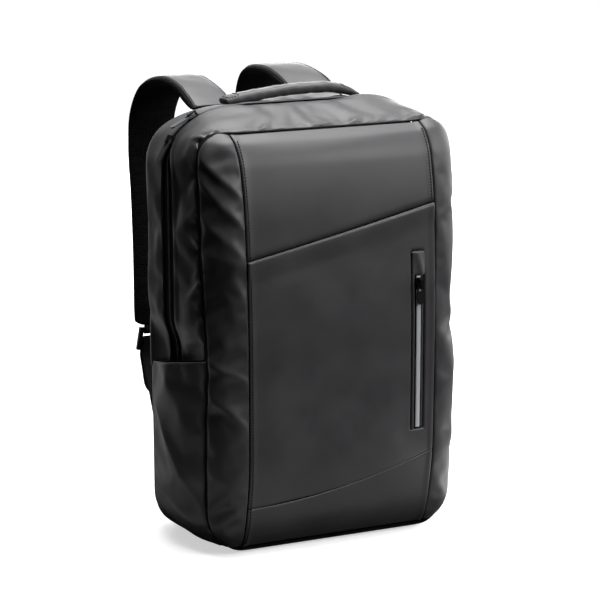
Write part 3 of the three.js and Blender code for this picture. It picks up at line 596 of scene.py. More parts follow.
def front_gusset_point(a, share):
    side, u = from_top(a)
    return skin_from_crease(side, u, share, ZIP_Y - zip_half_gap(u))


def rear_gusset_point(a, share):
    side, u = from_top(a)
    return skin_at(side, u, lerp(ZIP_Y + zip_half_gap(u), BACK_Y, share))


def raised(at, us, vs, lift):
    """A grid of points on a surface, raised along its normals. Lift gets the parameters, the points and
    their distances from the edges."""
    u, v = np.meshgrid(us, vs, indexing="ij")
    p = at(u, v)
    return p + outward(p) * lift(u, v, p, edge_reach(p))[..., None]


gusset_reach = TOP_U - GUSSET_END_U
gusset_rows = spaced(front_gusset_point, 0.6, -gusset_reach, gusset_reach)


def front_gusset_lift(a, share, p, reach):
    from_end, _, from_crease, from_zip = reach
    side, u = from_top(a)
    length = from_end[-1, 0]
    lift = sink(from_crease, **CREASE_SINK) + turn_in(from_zip, **HEM)
    lift += puckers(from_end, from_crease, length, seed=4)
    inner = smoothstep(from_crease, *FRONT_SLACK["crease"]) * smoothstep(from_zip, *FRONT_SLACK["zip"])
    lift += inner * ripples(p, GUSSET_RIPPLES["front"])
    fold_off = (p[..., 2] - lerp(MOUTH_FOLD["at_crease"], MOUTH_FOLD["at_zip"], share)) / MOUTH_FOLD["width"]
    across = np.sin(np.pi * np.clip(share, 0, 1))
    lift += MOUTH_FOLD["height"] * np.exp(-np.abs(fold_off) ** 1.4) * across * (u < 4)
    lip = lerp(ZIP_LIP["side"], ZIP_LIP["front_top"], smoothstep(u, *ZIP_LIP["corner"]))
    lift += lip * (1 - smoothstep(from_zip, *ZIP_LIP_FADES["front"]))
    lift += SHOULDER["rise"] * (side > 0) * np.exp(-((u - SHOULDER["u"]) / SHOULDER["width"]) ** 2)
    return lift - pocket_inset(u, p[..., 1])


def rear_gusset_lift(a, share, p, reach):
    _, _, from_zip, from_back = reach
    _, u = from_top(a)
    lift = turn_in(from_back, **BACK_TURN) + turn_in(from_zip, **HEM)
    inner = smoothstep(from_zip, *REAR_SLACK["zip"]) * smoothstep(from_back, *REAR_SLACK["back"])
    lift += inner * ripples(p, GUSSET_RIPPLES["rear"])
    lip = lerp(ZIP_LIP["side"], ZIP_LIP["rear_top"], smoothstep(u, *ZIP_LIP["corner"]))
    lift += lip * (1 - smoothstep(from_zip, *ZIP_LIP_FADES["rear"]))
    across = (p[..., 0] - LUMP["x"]) / LUMP["half"]
    back = (p[..., 1] - LUMP["y"]) / LUMP["deep"]
    lift += LUMP["rise"] * np.exp(-across ** 2 - back ** 2) * (u > 5)
    return lift - pocket_inset(u, p[..., 1])


gusset_shares = marks(GUSSET_WIDTH) / GUSSET_WIDTH
front_gusset = raised(front_gusset_point, gusset_rows, gusset_shares, front_gusset_lift)
front_gusset = settle(front_gusset, **GUSSET_SETTLE["front"])
cloth_piece("front_gusset_cloth", front_gusset, coated_cloth, "coated_fabric", "front_gusset")
rear_gusset = raised(rear_gusset_point, gusset_rows, gusset_shares, rear_gusset_lift)
rear_gusset = settle(rear_gusset, **GUSSET_SETTLE["rear"])
cloth_piece("rear_gusset_cloth", rear_gusset, coated_cloth, "coated_fabric", "rear_gusset")


# Seam binding as painted shade: a black woven tape, folded over the raw edges and sewn in with the seam. It
# closes the crease from inside and stands in for the shadow in it, so the groove stays dark all the way
# round.
SHADE_TAPE = {"front": -1.5, "rear": 9.0, "drop": 0.6, "thick": 0.8}
SHADE_TAPE_RISE = {"corner": 1.6, "corner_u": 4.75, "corner_half": 0.25, "foot": 3.4, "foot_deep": 5.0}
SHADE_TAPE_BLACK = "#060607"
SHADE_TAPE_YARN = 0.8
SHADE_TAPE_PITCH = 6
SHADE_TAPE_OVERLAP = 0.03


def grained(name, code, grain, bump, depth, inputs, detail=2.0):
    """A material of one colour with a fine grain in its skin, whose size and depth are in millimetres."""
    made, tree = blank_material(name)
    place = add_node(tree, "TexCoord").outputs["Object"]
    noise = add_node(tree, "TexNoise", {"Vector": place, "Scale": 1 / (grain * MM), "Detail": detail})
    skin = add_node(tree, "Bump", {"Height": noise.outputs["Fac"], "Strength": bump, "Distance": depth * MM})
    add_surface(tree, {"Base Color": linear(code), "Normal": skin.outputs["Normal"], **inputs})
    return made


# Woven polyester tape as painted shade: a soft, fuzzy weave that gives back almost no light, so it reads as
# plain black shadow.
shade_tape = grained("woven_tape_painted_shade", SHADE_TAPE_BLACK, SHADE_TAPE_YARN, 0.3, 0.1, {
    "Roughness": 0.95,
    "Specular IOR Level": 0.1,
})


def shade_tape_point(a, depth):
    side, u = from_top(a)
    x, z = outline(u, np.full_like(u, FRONT_Y))
    return np.stack([side * x, crease_depth(z) + depth, z], axis=-1)


# The tape rises at the upper corners and stands proud at the foot, so the painted shade shows there as a
# black line.
def shade_tape_lift(a, depth, p, reach):
    _, u = from_top(a)
    at_corner = np.exp(-((u - SHADE_TAPE_RISE["corner_u"]) / SHADE_TAPE_RISE["corner_half"]) ** 2)
    at_foot = np.clip(1 - (depth - SHADE_TAPE["front"]) / SHADE_TAPE_RISE["foot_deep"], 0, 1)
    at_foot = at_foot * (1 - smoothstep(u, 0.9, 1.5))
    return SHADE_TAPE_RISE["corner"] * at_corner + SHADE_TAPE_RISE["foot"] * at_foot - SHADE_TAPE["drop"]


shade_tape_reach = TOP_U + SHADE_TAPE_OVERLAP
shade_tape_rows = spaced(shade_tape_point, 0, -shade_tape_reach, shade_tape_reach, SHADE_TAPE_PITCH)
shade_tape_depths = np.linspace(SHADE_TAPE["front"], SHADE_TAPE["rear"], 5)
crease_shade = raised(shade_tape_point, shade_tape_rows, shade_tape_depths, shade_tape_lift)
cloth_piece("crease_painted_shade", crease_shade, shade_tape, "zip_tape", thick=SHADE_TAPE["thick"])


# Base: the lower end of the same cloth, flat to stand on, which runs up behind the side pockets and is sewn
# to the lower ends of both halves of the gusset.
BASE_DEPTH = 140
BASE_PITCH = {"along": 6, "across": 9}
base_end = GUSSET_END_U - SEAM_GAP / (POCKET_TOP - FOOT_TOP)


def base_point(a, share):
    return skin_from_crease(np.where(a < 0, -1.0, 1.0), np.abs(a), share, BACK_Y)


def base_lift(a, share, p, reach):
    _, _, from_crease, from_back = reach
    lift = turn_in(from_crease, **BACK_TURN) + turn_in(from_back, **BACK_TURN)
    return lift - pocket_inset(np.abs(a), p[..., 1])


base_rows = spaced(base_point, 0.5, -base_end, base_end, BASE_PITCH["along"])
base_shares = marks(BASE_DEPTH, BASE_PITCH["across"]) / BASE_DEPTH
base = raised(base_point, base_rows, base_shares, base_lift)
cloth_piece("base_cloth", base, coated_cloth, "coated_fabric", "bottom_gusset")


# Front corners: two strips of the same cloth that turn from the crease to the front face. They are cut
# generously, so they lie in soft slanting folds between their two seams.
SEAM_X = 109
FACE = [
    # height and depth of the front face
    (6, -66), (20, -75), (45, -82), (100, -89), (225, -90),
    (340, -85), (400, -76), (425, -63), (434, -48),
]
STRIP_WIDTH = 56
STRIP_GROOVE = {"radius": 2.2, "depth": 1.4}
END_TURN = {"radius": 3, "depth": 4}
STRIP_ENDS = (1 + 1 / 6, 5 - 1 / 7)
STRIP_SETTLE = {"grow": 0.014, "cap": 3.5}
STRIP_RIPPLES = [(1.0, 60, 31, 1.3), (0.4, 22, 33, 1)]
STRIP_SLACK = {-1: 1.0, 1: 0.35}
STRIP_FULLNESS = {
    # height and how far the strip stands out there
    -1: [(6, 0), (434, 0)],
    1: [(6, 0), (60, 2), (160, 2.4), (200, 0.5), (222, -2.2), (250, -1), (290, 1.6), (380, 3), (434, 3)],
}
FOLDS = [
    # side, height at the crease, height at the seam, width above, width below, height of the fold
    (-1, 418, 372, 9, 7, 3.0),
    (-1, 396, 340, 10, 8, 3.6),
    (-1, 356, 312, 12, 9, 3.0),
    (-1, 316, 304, 12, 9, 2.4),
    (-1, 208, 186, 8, 9, 3.6),
    (-1, 178, 138, 12, 9, 3.4),
    (-1, 92, 70, 14, 12, 2.4),
    (1, 384, 330, 11, 9, 1.0),
    (1, 246, 200, 10, 8, 1.0),
    (1, 190, 150, 10, 8, 1.0),
    (1, 110, 84, 13, 11, 0.8),
]
face_depth = curves_of(FACE)[0]


def seam_x(z):
    return SEAM_X * taper(z)


def strip_point(side):
    def at(u, share):
        rim_x, z = outline(u, np.full_like(u, FRONT_Y))
        inner = seam_x(z) + SEAM_GAP
        edge = crease_depth(z)
        x = inner + (rim_x - inner) * np.sin(share * np.pi / 2)
        return np.stack([side * x, edge + (face_depth(z) - edge) * np.cos(share * np.pi / 2), z], axis=-1)
    return at


def strip_lift(side):
    fullness = curves_of(STRIP_FULLNESS[side])[0]

    def lift(u, share, p, reach):
        from_foot, from_top_end, from_seam, from_crease = reach
        across = np.sqrt(np.sin(np.pi * np.clip(share, 0, 1)))
        total = turn_in(from_crease, **STRIP_TURN) + turn_in(from_seam, **STRIP_GROOVE)
        total += turn_in(from_top_end, **END_TURN) + turn_in(from_foot, **END_TURN)
        for fold_side, crease_z, seam_z, above, below, height in FOLDS:
            if fold_side == side:
                off = p[..., 2] - lerp(seam_z, crease_z, share)
                total += across * height * np.exp(-np.abs(off / np.where(off > 0, above, below)) ** 1.4)
        uneven = ripples(p, STRIP_RIPPLES, side)
        return total + across * (STRIP_SLACK[side] * uneven + fullness(p[..., 2]))
    return lift


for name, side in SIDES.items():
    at = strip_point(side)
    rows = spaced(at, 0.5, *STRIP_ENDS)
    shares = marks(STRIP_WIDTH) / STRIP_WIDTH
    p = raised(at, rows, shares, strip_lift(side))
    p = settle(p, STRIP_SETTLE["grow"] * STRIP_SLACK[side], STRIP_SETTLE["cap"])
    cloth_piece("front_strip_cloth_" + name, p, coated_cloth, "coated_fabric", "front_side_strip_" + name)


# Front face: three flat panels between two slanted seams, topstitched to the corner strips along both sides.
# The middle panel is folded over along its upper edge and laps onto the upper one.
CROWN = 4
CROWN_RISE = 25
UPPER_SEAM = {"left": 308, "right": 353, "bend": 1}
LOWER_SEAM = {"left": 51, "right": 91, "bend": 1.7}
FACE_BOTTOM = 6 + SEAM_GAP
FACE_TOP = 434 - SEAM_GAP
SLOT = {"left": 80, "right": 96, "bottom": 115, "top": 304}
FLANGE = {"rise": 0.9, "width": 8}
GARAGE_LENGTH = 26
LAP = {"rise": 1.7, "width": 26}
LAP_EDGE = {"radius": 2.2, "depth": 2.0}
LAP_GROOVE = {"radius": 6, "depth": 2.4}
LOWER_GROOVE = {"radius": 3, "depth": 1.0}
SLOT_EDGE = {"radius": 2.2, "depth": 1.6}
UPPER_SLACK = {"side": (4, 40), "top": (6, 40)}
UPPER_RIPPLES = [(0.7, 120, 41, 1)]
MIDDLE_SLACK = {"side": (4, 50), "top": (4, 40), "slot": (3, 25)}
MIDDLE_RIPPLES = [(0.8, 130, 51, 1)]
UPPER_HEIGHT = 104
LOWER_HEIGHT = 65
AROUND_SLOT = {"left": 189, "right": 13, "below": 45, "above": 26}
SLOT_GRID = {"columns": 6, "rows": 61, "pitch": 2.2, "rounds": 3}


def front_point(x, z):
    swell = CROWN * smoothstep(crease_depth(z) - face_depth(z), 0, CROWN_RISE)
    across = x / seam_x(z)
    return np.stack([x, face_depth(z) - swell * (1 - across ** 2), z], axis=-1)


def seam_height(seam, across):
    share = np.clip((across + 1) / 2, 0, 1)
    return lerp(seam["left"], seam["right"], share ** seam["bend"])


def side_flange(d):
    """The raised, folded edge of a front panel along its stitched side seam."""
    return FLANGE["rise"] * (1 - smoothstep(d, 3, FLANGE["width"])) + turn_in(d, 1.2, 1.2)


def upper_panel_point(across, share):
    z = lerp(seam_height(UPPER_SEAM, across) + SEAM_GAP / 2, FACE_TOP, share)
    return front_point(across * seam_x(z), z)


def upper_panel_lift(across, share, p, reach):
    from_left, from_right, from_seam, from_top_edge = reach
    lift = side_flange(from_left) + side_flange(from_right) + turn_in(from_top_edge, **END_TURN)
    lift += turn_in(from_seam, **LAP_GROOVE)
    inner = smoothstep(np.minimum(from_left, from_right), *UPPER_SLACK["side"])
    inner = inner * smoothstep(from_top_edge, *UPPER_SLACK["top"])
    return lift + inner * ripples(p, UPPER_RIPPLES)


def lower_panel_point(across, share):
    z = lerp(FACE_BOTTOM, seam_height(LOWER_SEAM, across) - SEAM_GAP / 2, share)
    return front_point(across * seam_x(z), z)


def lower_panel_lift(across, share, p, reach):
    from_left, from_right, from_base, from_seam = reach
    lift = side_flange(from_left) + side_flange(from_right) + turn_in(from_base, **END_TURN)
    return lift + turn_in(from_seam, **LOWER_GROOVE)


face_columns = marks(2 * SEAM_X) / SEAM_X - 1
upper_panel = raised(upper_panel_point, face_columns, marks(UPPER_HEIGHT) / UPPER_HEIGHT, upper_panel_lift)
cloth_piece("front_upper_cloth", upper_panel, coated_cloth, "coated_fabric", "front_upper_panel")
lower_panel = raised(lower_panel_point, face_columns, marks(LOWER_HEIGHT) / LOWER_HEIGHT, lower_panel_lift)
cloth_piece("front_lower_cloth", lower_panel, coated_cloth, "coated_fabric", "front_lower_panel")


def slot_zones(before, lines, after, pitch=GRID):
    """Lines of a grid before, across and after the slot: the number of the zone and the share across it."""
    parts = [marks(before)[:-1] / before, np.linspace(0, 1, lines)[:-1], marks(after, pitch) / after]
    return np.repeat([0, 1, 2], [len(part) for part in parts]), np.concatenate(parts)


# The middle panel's columns and rows follow the edges of the zip slot, which is left open.
column_zone, column_t = slot_zones(
    AROUND_SLOT["left"], SLOT_GRID["columns"], AROUND_SLOT["right"], SLOT_GRID["pitch"])
row_zone, row_t = slot_zones(AROUND_SLOT["below"], SLOT_GRID["rows"], AROUND_SLOT["above"])
column_zone = column_zone[:, None]
row_zone = row_zone[None, :]
z = lerp(SLOT["bottom"], SLOT["top"], row_t[None, :]) * np.ones_like(column_t[:, None])
# Heights and widths of the tapering panel depend on each other, so they are worked out a few times over.
for _ in range(SLOT_GRID["rounds"]):
    edge = seam_x(z)
    x_low = np.choose(column_zone, [-edge, SLOT["left"] + 0 * z, SLOT["right"] + 0 * z])
    x_high = np.choose(column_zone, [SLOT["left"] + 0 * z, SLOT["right"] + 0 * z, edge])
    x = lerp(x_low, x_high, column_t[:, None])
    low = seam_height(LOWER_SEAM, x / edge) + SEAM_GAP / 2
    high = seam_height(UPPER_SEAM, x / edge) - SEAM_GAP / 2
    z_low = np.choose(row_zone, [low, SLOT["bottom"] + 0 * x, SLOT["top"] + 0 * x])
    z_high = np.choose(row_zone, [SLOT["bottom"] + 0 * x, SLOT["top"] + 0 * x, high])
    z = lerp(z_low, z_high, row_t[None, :])
flat_face = front_point(x, z)
from_left, from_right, from_low, from_high = edge_reach(flat_face)
outside_x = np.maximum(SLOT["left"] - x, x - SLOT["right"])
outside_z = np.maximum(SLOT["bottom"] - z, z - SLOT["top"])
from_slot = np.hypot(np.maximum(outside_x, 0), np.maximum(outside_z, 0))
lift = side_flange(from_left) + side_flange(from_right) + turn_in(from_low, **LOWER_GROOVE)
lift += LAP["rise"] * (1 - smoothstep(from_high, 2, LAP["width"])) + turn_in(from_high, **LAP_EDGE)
garage_side = smoothstep(x, SLOT["right"] - 2, SLOT["right"])
garage_side = garage_side * smoothstep(z, SLOT["top"] - GARAGE_LENGTH, SLOT["top"] - 18)
lift += turn_in(from_slot, **SLOT_EDGE) * (1 - garage_side)
inner = smoothstep(np.minimum(from_left, from_right), *MIDDLE_SLACK["side"])
inner = inner * smoothstep(from_high, *MIDDLE_SLACK["top"]) * smoothstep(from_slot, *MIDDLE_SLACK["slot"])
lift += inner * ripples(flat_face, MIDDLE_RIPPLES)
in_slot = (column_zone[:-1] == 1) & (row_zone[:, :-1] == 1)
middle_panel = flat_face + outward(flat_face) * lift[..., None]
cloth_piece("front_middle_cloth", middle_panel, coated_cloth, "coated_fabric", "front_middle_panel",
            kept=~in_slot)


# Stitching: lockstitch in a doubled polyester thread, a shade darker than the cloth, in topstitched rows
# beside the seams, in boxes where the handle is sewn down and in rows along the strap caps.
STITCH = {"length": 2.2, "width": 1.3, "height": 0.9}
STITCH_PITCH = 3.2
THREAD_GREY = "#0c0c0d"
THREAD_TWIST = 0.7

# Spun polyester: a matt, twisted thread that reads as a dark dash between two holes.
thread = grained("polyester_thread", THREAD_GREY, THREAD_TWIST, 0.4, 0.1, {
    "Roughness": 0.85,
    "Specular IOR Level": 0.1,
}, detail=1.0)

BEAD_RINGS = [(-0.5, 0.22), (-0.38, 0.5), (0.38, 0.5), (0.5, 0.22)]
BEAD_SIDES = 6


def unit(v):
    return v / np.maximum(np.linalg.norm(v, axis=-1, keepdims=True), 1e-9)


def beads(name, centres, along, out, size, look):
    """Small rounded bars in one object, each with its length along a direction and its height outwards."""
    turn = 2 * np.pi * np.arange(BEAD_SIDES) / BEAD_SIDES
    shape = np.array([(x, r * c, r * s) for x, r in BEAD_RINGS for c, s in zip(np.cos(turn), np.sin(turn))])
    shape *= (size["length"], size["width"], size["height"])
    rings = len(BEAD_RINGS)
    faces = [list(f) for f in grid_faces(rings, BEAD_SIDES, loop=True)]
    faces += [list(range(BEAD_SIDES)), [rings * BEAD_SIDES - 1 - k for k in range(BEAD_SIDES)]]
    along = unit(along)
    across = unit(np.cross(out, along))
    out = np.cross(along, across)
    axes = np.stack([along, across, out], axis=1)
    points = centres[:, None] + np.einsum("sk,nkd->nsd", shape, axes)
    count = shape.shape[0]
    every = [[i + k * count for i in face] for k in range(len(centres)) for face in faces]
    return mesh_object(name, points.reshape(-1, 3), every, look)


def evenly(points, pitch):
    """Places at a pitch along a line of points, with their directions."""
    spots = np.arange(pitch / 2, run_of(points)[-1], pitch)
    return points_at(spots, points), unit(points_at(spots + 0.5, points) - points_at(spots - 0.5, points))


def stitch_rows(name, rows):
    """Rows of stitches. A row is a line of points and one outward direction, or one for each point."""
    centres, ways, outs = [], [], []
    for points, out in rows:
        points = np.asarray(points, float)
        out = np.broadcast_to(out, points.shape)
        at, way = evenly(points, STITCH_PITCH)
        nearest = np.argmin(np.linalg.norm(points[None] - at[:, None], axis=-1), axis=1)
        centres.append(at)
        ways.append(way)
        outs.append(out[nearest])
    return beads(name, np.concatenate(centres), np.concatenate(ways), np.concatenate(outs), STITCH, thread)


SEAM_STITCH = {"inset": 3.0, "rise": 0.15, "top": FACE_TOP - 7}
STITCHED_FROM = {-1: FACE_BOTTOM + 5, 1: UPPER_SEAM["right"] + 3}
seam_rows = []
for side, lowest in STITCHED_FROM.items():
    seam_z = np.linspace(lowest, SEAM_STITCH["top"], 200)
    row = front_point(side * (seam_x(seam_z) - SEAM_STITCH["inset"]), seam_z)
    lean = unit(np.stack([0 * seam_z, np.gradient(row[:, 2]), -np.gradient(row[:, 1])], axis=-1))
    out = np.stack([0 * seam_z, -lean[:, 1], -lean[:, 2]], axis=-1)
    seam_rows.append((row + out * (FLANGE["rise"] + SEAM_STITCH["rise"]), out))
fix(stitch_rows("front_seam_stitches", seam_rows), "coated_fabric")


# Main zip: a black woven tape that shows between the two halves of the gusset, with a moulded coil down its
# middle, and two die-cast sliders parked at the upper left corner, each with a flat pull on its bridge.
TAPE_TUCK = 6
TAPE_DROP = 2.6
TAPE_THICK = 0.8
TAPE_COLUMNS = 9
TAPE_BLACK = "#0f0f10"
TAPE_THREAD = 1.3
COIL_PITCH = 1.7
COIL = {"length": 3.1, "width": 1.15, "height": 1.0}
COIL_DROP = 1.5
COIL_STAGGER = 0.75
COIL_BLACK = "#121214"
COIL_SCUFF = 6
SLIDER_BLACK = "#1c1d1f"
PULL_GREY = "#5a5b5f"
CAST_GRIT = 0.5
HAND_WEAR = 9
EDGE_ROUND = 0.35


def thread_wave(tree, field, pitch):
    """A wave over the distances along or across a piece, with one crest for each thread."""
    run = add_node(tree, "Attribute", attribute_name=field).outputs["Fac"]
    turns = add_node(tree, "Math", {0: run, 1: 2 * math.pi / pitch}, operation="MULTIPLY")
    return add_node(tree, "Math", {0: turns.outputs["Value"]}, operation="SINE").outputs["Value"]


# Woven polyester tape: fine cross threads in a dull black.
zip_tape, tree = blank_material("woven_zip_tape")
wave = thread_wave(tree, "along", TAPE_THREAD)
weave = add_node(tree, "Bump", {"Height": wave, "Strength": 0.5, "Distance": 0.12 * MM})
add_surface(tree, {
    "Base Color": linear(TAPE_BLACK),
    "Roughness": 0.8,
    "Specular IOR Level": 0.3,
    "Normal": weave.outputs["Normal"],
})

# Polyester monofilament: smooth black plastic, worn a little unevenly by the sliders.
coil_plastic, tree = blank_material("polyester_coil")
place = add_node(tree, "TexCoord").outputs["Object"]
scuff = add_node(tree, "TexNoise", {"Vector": place, "Scale": 1 / (COIL_SCUFF * MM), "Detail": 2.0})
worn = add_node(tree, "MapRange", {"Value": scuff.outputs["Fac"], "To Min": 0.5, "To Max": 0.65})
add_surface(tree, {
    "Base Color": linear(COIL_BLACK),
    "Roughness": worn.outputs["Result"],
    "IOR": 1.5,
})


def cast_metal(name, code, roughness):
    """Die-cast zinc under a tumbled and plated skin: faint grit, and a gloss that varies with handling."""
    made, tree = blank_material(name)
    place = add_node(tree, "TexCoord").outputs["Object"]
    grit = add_node(tree, "TexNoise", {"Vector": place, "Scale": 1 / (CAST_GRIT * MM), "Detail": 2.0})
    skin = add_node(tree, "Bump", {"Height": grit.outputs["Fac"], "Strength": 0.2, "Distance": 0.05 * MM})
    hands = add_node(tree, "TexNoise", {"Vector": place, "Scale": 1 / (HAND_WEAR * MM), "Detail": 2.0})
    worn = add_node(tree, "MapRange", {"Value": hands.outputs["Fac"], "To Min": roughness - 0.08,
                                       "To Max": roughness + 0.08})
    add_surface(tree, {
        "Base Color": linear(code),
        "Metallic": 0.85,
        "Roughness": worn.outputs["Result"],
        "Normal": skin.outputs["Normal"],
    })
    return made


slider_metal = cast_metal("blackened_zinc", SLIDER_BLACK, 0.36)
pull_metal = cast_metal("grey_plated_zinc", PULL_GREY, 0.4)


def main_tape_point(a, across):
    side, u = from_top(a)
    return skin_at(side, u, ZIP_Y + across * (zip_half_gap(u) + TAPE_TUCK))


def main_tape_lift(a, across, p, reach):
    return -TAPE_DROP - pocket_inset(from_top(a)[1], p[..., 1])


tape_shares = np.linspace(-1, 1, TAPE_COLUMNS)
main_tape = raised(main_tape_point, gusset_rows, tape_shares, main_tape_lift)
cloth_piece("main_zip_tape_cloth", main_tape, zip_tape, "zip_tape", "main_zip_tape", thick=TAPE_THICK)


def teeth(name, line, way, out, size, stagger):
    """The teeth of a zip, set by turns to one side and the other of a line."""
    turns = np.where(np.arange(len(line)) % 2 == 0, -1, 1)[:, None]
    ways = np.repeat([way], len(line), axis=0)
    outs = np.broadcast_to(out, line.shape)
    return beads(name, line + stagger * turns * ways, ways, outs, size, coil_plastic)


coil_a = spaced(main_tape_point, 0, -gusset_reach, gusset_reach, COIL_PITCH / 2)
coil_line = raised(main_tape_point, coil_a, np.array([-0.02, 0, 0.02]),
                   lambda a, across, p, reach: -COIL_DROP - pocket_inset(from_top(a)[1], p[..., 1]))
main_coil = teeth("main_zip_teeth", coil_line[:, 1], [0.0, 1.0, 0.0], outward(coil_line)[:, 1],
                  COIL, COIL_STAGGER)
fix(main_coil, "moulded_plastic", "main_zip_coil")


def finish_casting(node, look, edge=EDGE_ROUND):
    """A CAD casting keeps its shape, with its edges tumbled round."""
    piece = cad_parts[node]
    piece.data.materials.clear()
    piece.data.materials.append(look)
    rounded = piece.modifiers.new("tumbled_edges", "BEVEL")
    rounded.width = edge * MM
    rounded.segments = 3
    rounded.limit_method = "ANGLE"
    rounded.harden_normals = True
    piece.data.shade_smooth()


for letter in "ab":
    finish_casting("main_zip_slider_" + letter, slider_metal)
    finish_casting("main_zip_pull_" + letter, pull_metal)


# Front pocket zip: a black tape and coil behind a slot in the middle panel, with a folded cloth welt along
# its left edge, a cloth garage over its upper end and a line of silver reflective film beside the coil.
WELT_WIDTH = 3.5
FILM = {"left": 86, "right": 91.4, "bottom": 117, "drop": 0.4, "thick": 0.6}
WELT_RISE = 0.6
GARAGE_ROLL = {"low_x": 93, "high_x": 86, "half": 4.6, "rise": 1.6}
FILM_SILVER = "#a9abae"
FILM_BEADS = 0.6

# Glass bead film: tiny beads on a silvered backing under a clear skin, pale grey in soft light.
film, tree = blank_material("glass_bead_film")
place = add_node(tree, "TexCoord").outputs["Object"]
glass = add_node(tree, "TexVoronoi", {"Vector": place, "Scale": 1 / (FILM_BEADS * MM)})
dots = add_node(tree, "Bump", {"Height": glass.outputs["Distance"], "Strength": 0.15, "Distance": 0.05 * MM})
add_surface(tree, {
    "Base Color": linear(FILM_SILVER),
    "Metallic": 0.25,
    "Roughness": 0.38,
    "Coat Weight": 0.3,
    "Coat Roughness": 0.2,
    "Normal": dots.outputs["Normal"],
})


def face_patch(left, right, bottom, top, lift, pitch=2.2):
    """A grid on the front face between two sides and two heights."""
    xs = np.linspace(left, right, max(round((right - left) / pitch), 4) + 1)
    zs = np.linspace(bottom, top, max(round((top - bottom) / pitch), 4) + 1)
    return raised(front_point, xs, zs, lift)


pocket_tape = face_patch(
    SLOT["left"] - TAPE_TUCK, SLOT["right"] + TAPE_TUCK, SLOT["bottom"] - TAPE_TUCK, SLOT["top"] + TAPE_TUCK,
    lambda x, z, p, reach: -TAPE_DROP + 0 * x)
cloth_piece("pocket_zip_tape_cloth", pocket_tape, zip_tape, "zip_tape", "pocket_zip_tape", thick=TAPE_THICK)

garage_bottom = SLOT["top"] - GARAGE_LENGTH


def welt_lift(x, z, p, reach):
    from_left, from_right, _, _ = reach
    return WELT_RISE + turn_in(from_left, 1.6, 1.8) + turn_in(from_right, 1.5, 2.2)


welt_left = SLOT["left"] + GAP
welt = face_patch(
    welt_left, welt_left + WELT_WIDTH, SLOT["bottom"] + GAP, garage_bottom + 2, welt_lift, pitch=0.6)
cloth_piece("pocket_welt_cloth", welt, coated_cloth, "coated_fabric", "pocket_welt")


def garage_lift(x, z, p, reach):
    from_left, from_right, from_low, from_high = reach
    middle = lerp(GARAGE_ROLL["low_x"], GARAGE_ROLL["high_x"], (z - garage_bottom) / GARAGE_LENGTH)
    roll = GARAGE_ROLL["rise"] * np.exp(-((x - middle) / GARAGE_ROLL["half"]) ** 2)
    edges = turn_in(from_low, 2, 2) + turn_in(from_left, 1.5, 1.6) + turn_in(from_high, 2, 1.8)
    return WELT_RISE * smoothstep(from_right, 0, 5) + roll * smoothstep(from_right, 0, 2) + edges


garage = face_patch(
    welt_left, SLOT["right"] + GAP, garage_bottom, SLOT["top"] - GAP, garage_lift, pitch=1.0)
cloth_piece("pocket_garage_cloth", garage, coated_cloth, "coated_fabric", "pocket_garage")


def film_lift(x, z, p, reach):
    from_left, from_right, _, _ = reach
    return -FILM["drop"] + turn_in(np.minimum(from_left, from_right), 1.2, 0.6)


film_band = face_patch(
    FILM["left"], FILM["right"], FILM["bottom"], garage_bottom - GAP, film_lift, pitch=0.8)
cloth_piece("reflective_film", film_band, film, "reflective_film", "reflective_strip", thick=FILM["thick"])

POCKET_COIL = {"length": 2.4, "width": 1.15, "height": 1.0}
POCKET_COIL_X = 93.4
POCKET_COIL_STAGGER = 0.5
coil_z = np.arange(FILM["bottom"], garage_bottom, COIL_PITCH / 2)
coil_line = front_point(np.full_like(coil_z, POCKET_COIL_X), coil_z)
coil_line[:, 1] += COIL_DROP
pocket_coil = teeth("pocket_zip_teeth", coil_line, [1.0, 0.0, 0.0], [0.0, -1.0, 0.0],
                    POCKET_COIL, POCKET_COIL_STAGGER)
fix(pocket_coil, "moulded_plastic")

# Moulded rubber: the spark-eroded mould leaves it with a soft black bloom and a dull highlight.
RUBBER_BLACK = "#0b0b0c"
RUBBER_SPARK = 0.6
rubber_black = grained("moulded_rubber", RUBBER_BLACK, RUBBER_SPARK, 0.3, 0.06, {
    "Roughness": 0.5,
    "Specular IOR Level": 0.15,
})
finish_casting("pocket_slider", slider_metal)
finish_casting("pocket_pull", rubber_black)


# Side pockets: a loose panel of the coated cloth over each side, sewn in along the crease and the base, with
# a hemmed mouth that slopes down to the back. Soft folds run down it towards the rear.
POCKET_SLOPE = 22
POCKET_SLACK = 5.0
POCKET_WIDTH = 112
POCKET_CLOTH = 1.4
MOUTH_HEM = 11
MOUTH_SHADE_RISES = (-8, -4, 0, 1.5)
POCKET_FOLDS = [
    # height at the front, height at the rear, width, height of the fold
    (44, 152, 10, 3.6),
    (20, 70, 9, 2.4),
]
POCKET_RIDGE = {"share": 0.58, "half": 0.14, "height": 2.6, "grows": (2.35, 2.8)}
POCKET_RIPPLES = [(0.8, 55, 61, 1.6)]
POCKET_SWELLS = (1.3, 2.2)
POCKET_ENDS = (1 + 1 / 3, 3)
POCKET_SETTLE = {"grow": 0.01, "cap": 3}
POCKET_REAR = {"radius": 4, "depth": 1.6}
MOUTH_EDGE = {"radius": 1.2, "depth": 1.0}
MOUTH_RISE = 0.3


def pocket_point(side):
    def at(u, share):
        over_end = np.maximum(u - GUSSET_END_U, 0) / (3 - GUSSET_END_U)
        fall = over_end * share * POCKET_SLOPE / (POCKET_TOP - FOOT_TOP)
        return skin_from_crease(side, u - fall, share, POCKET_BACK_Y)
    return at


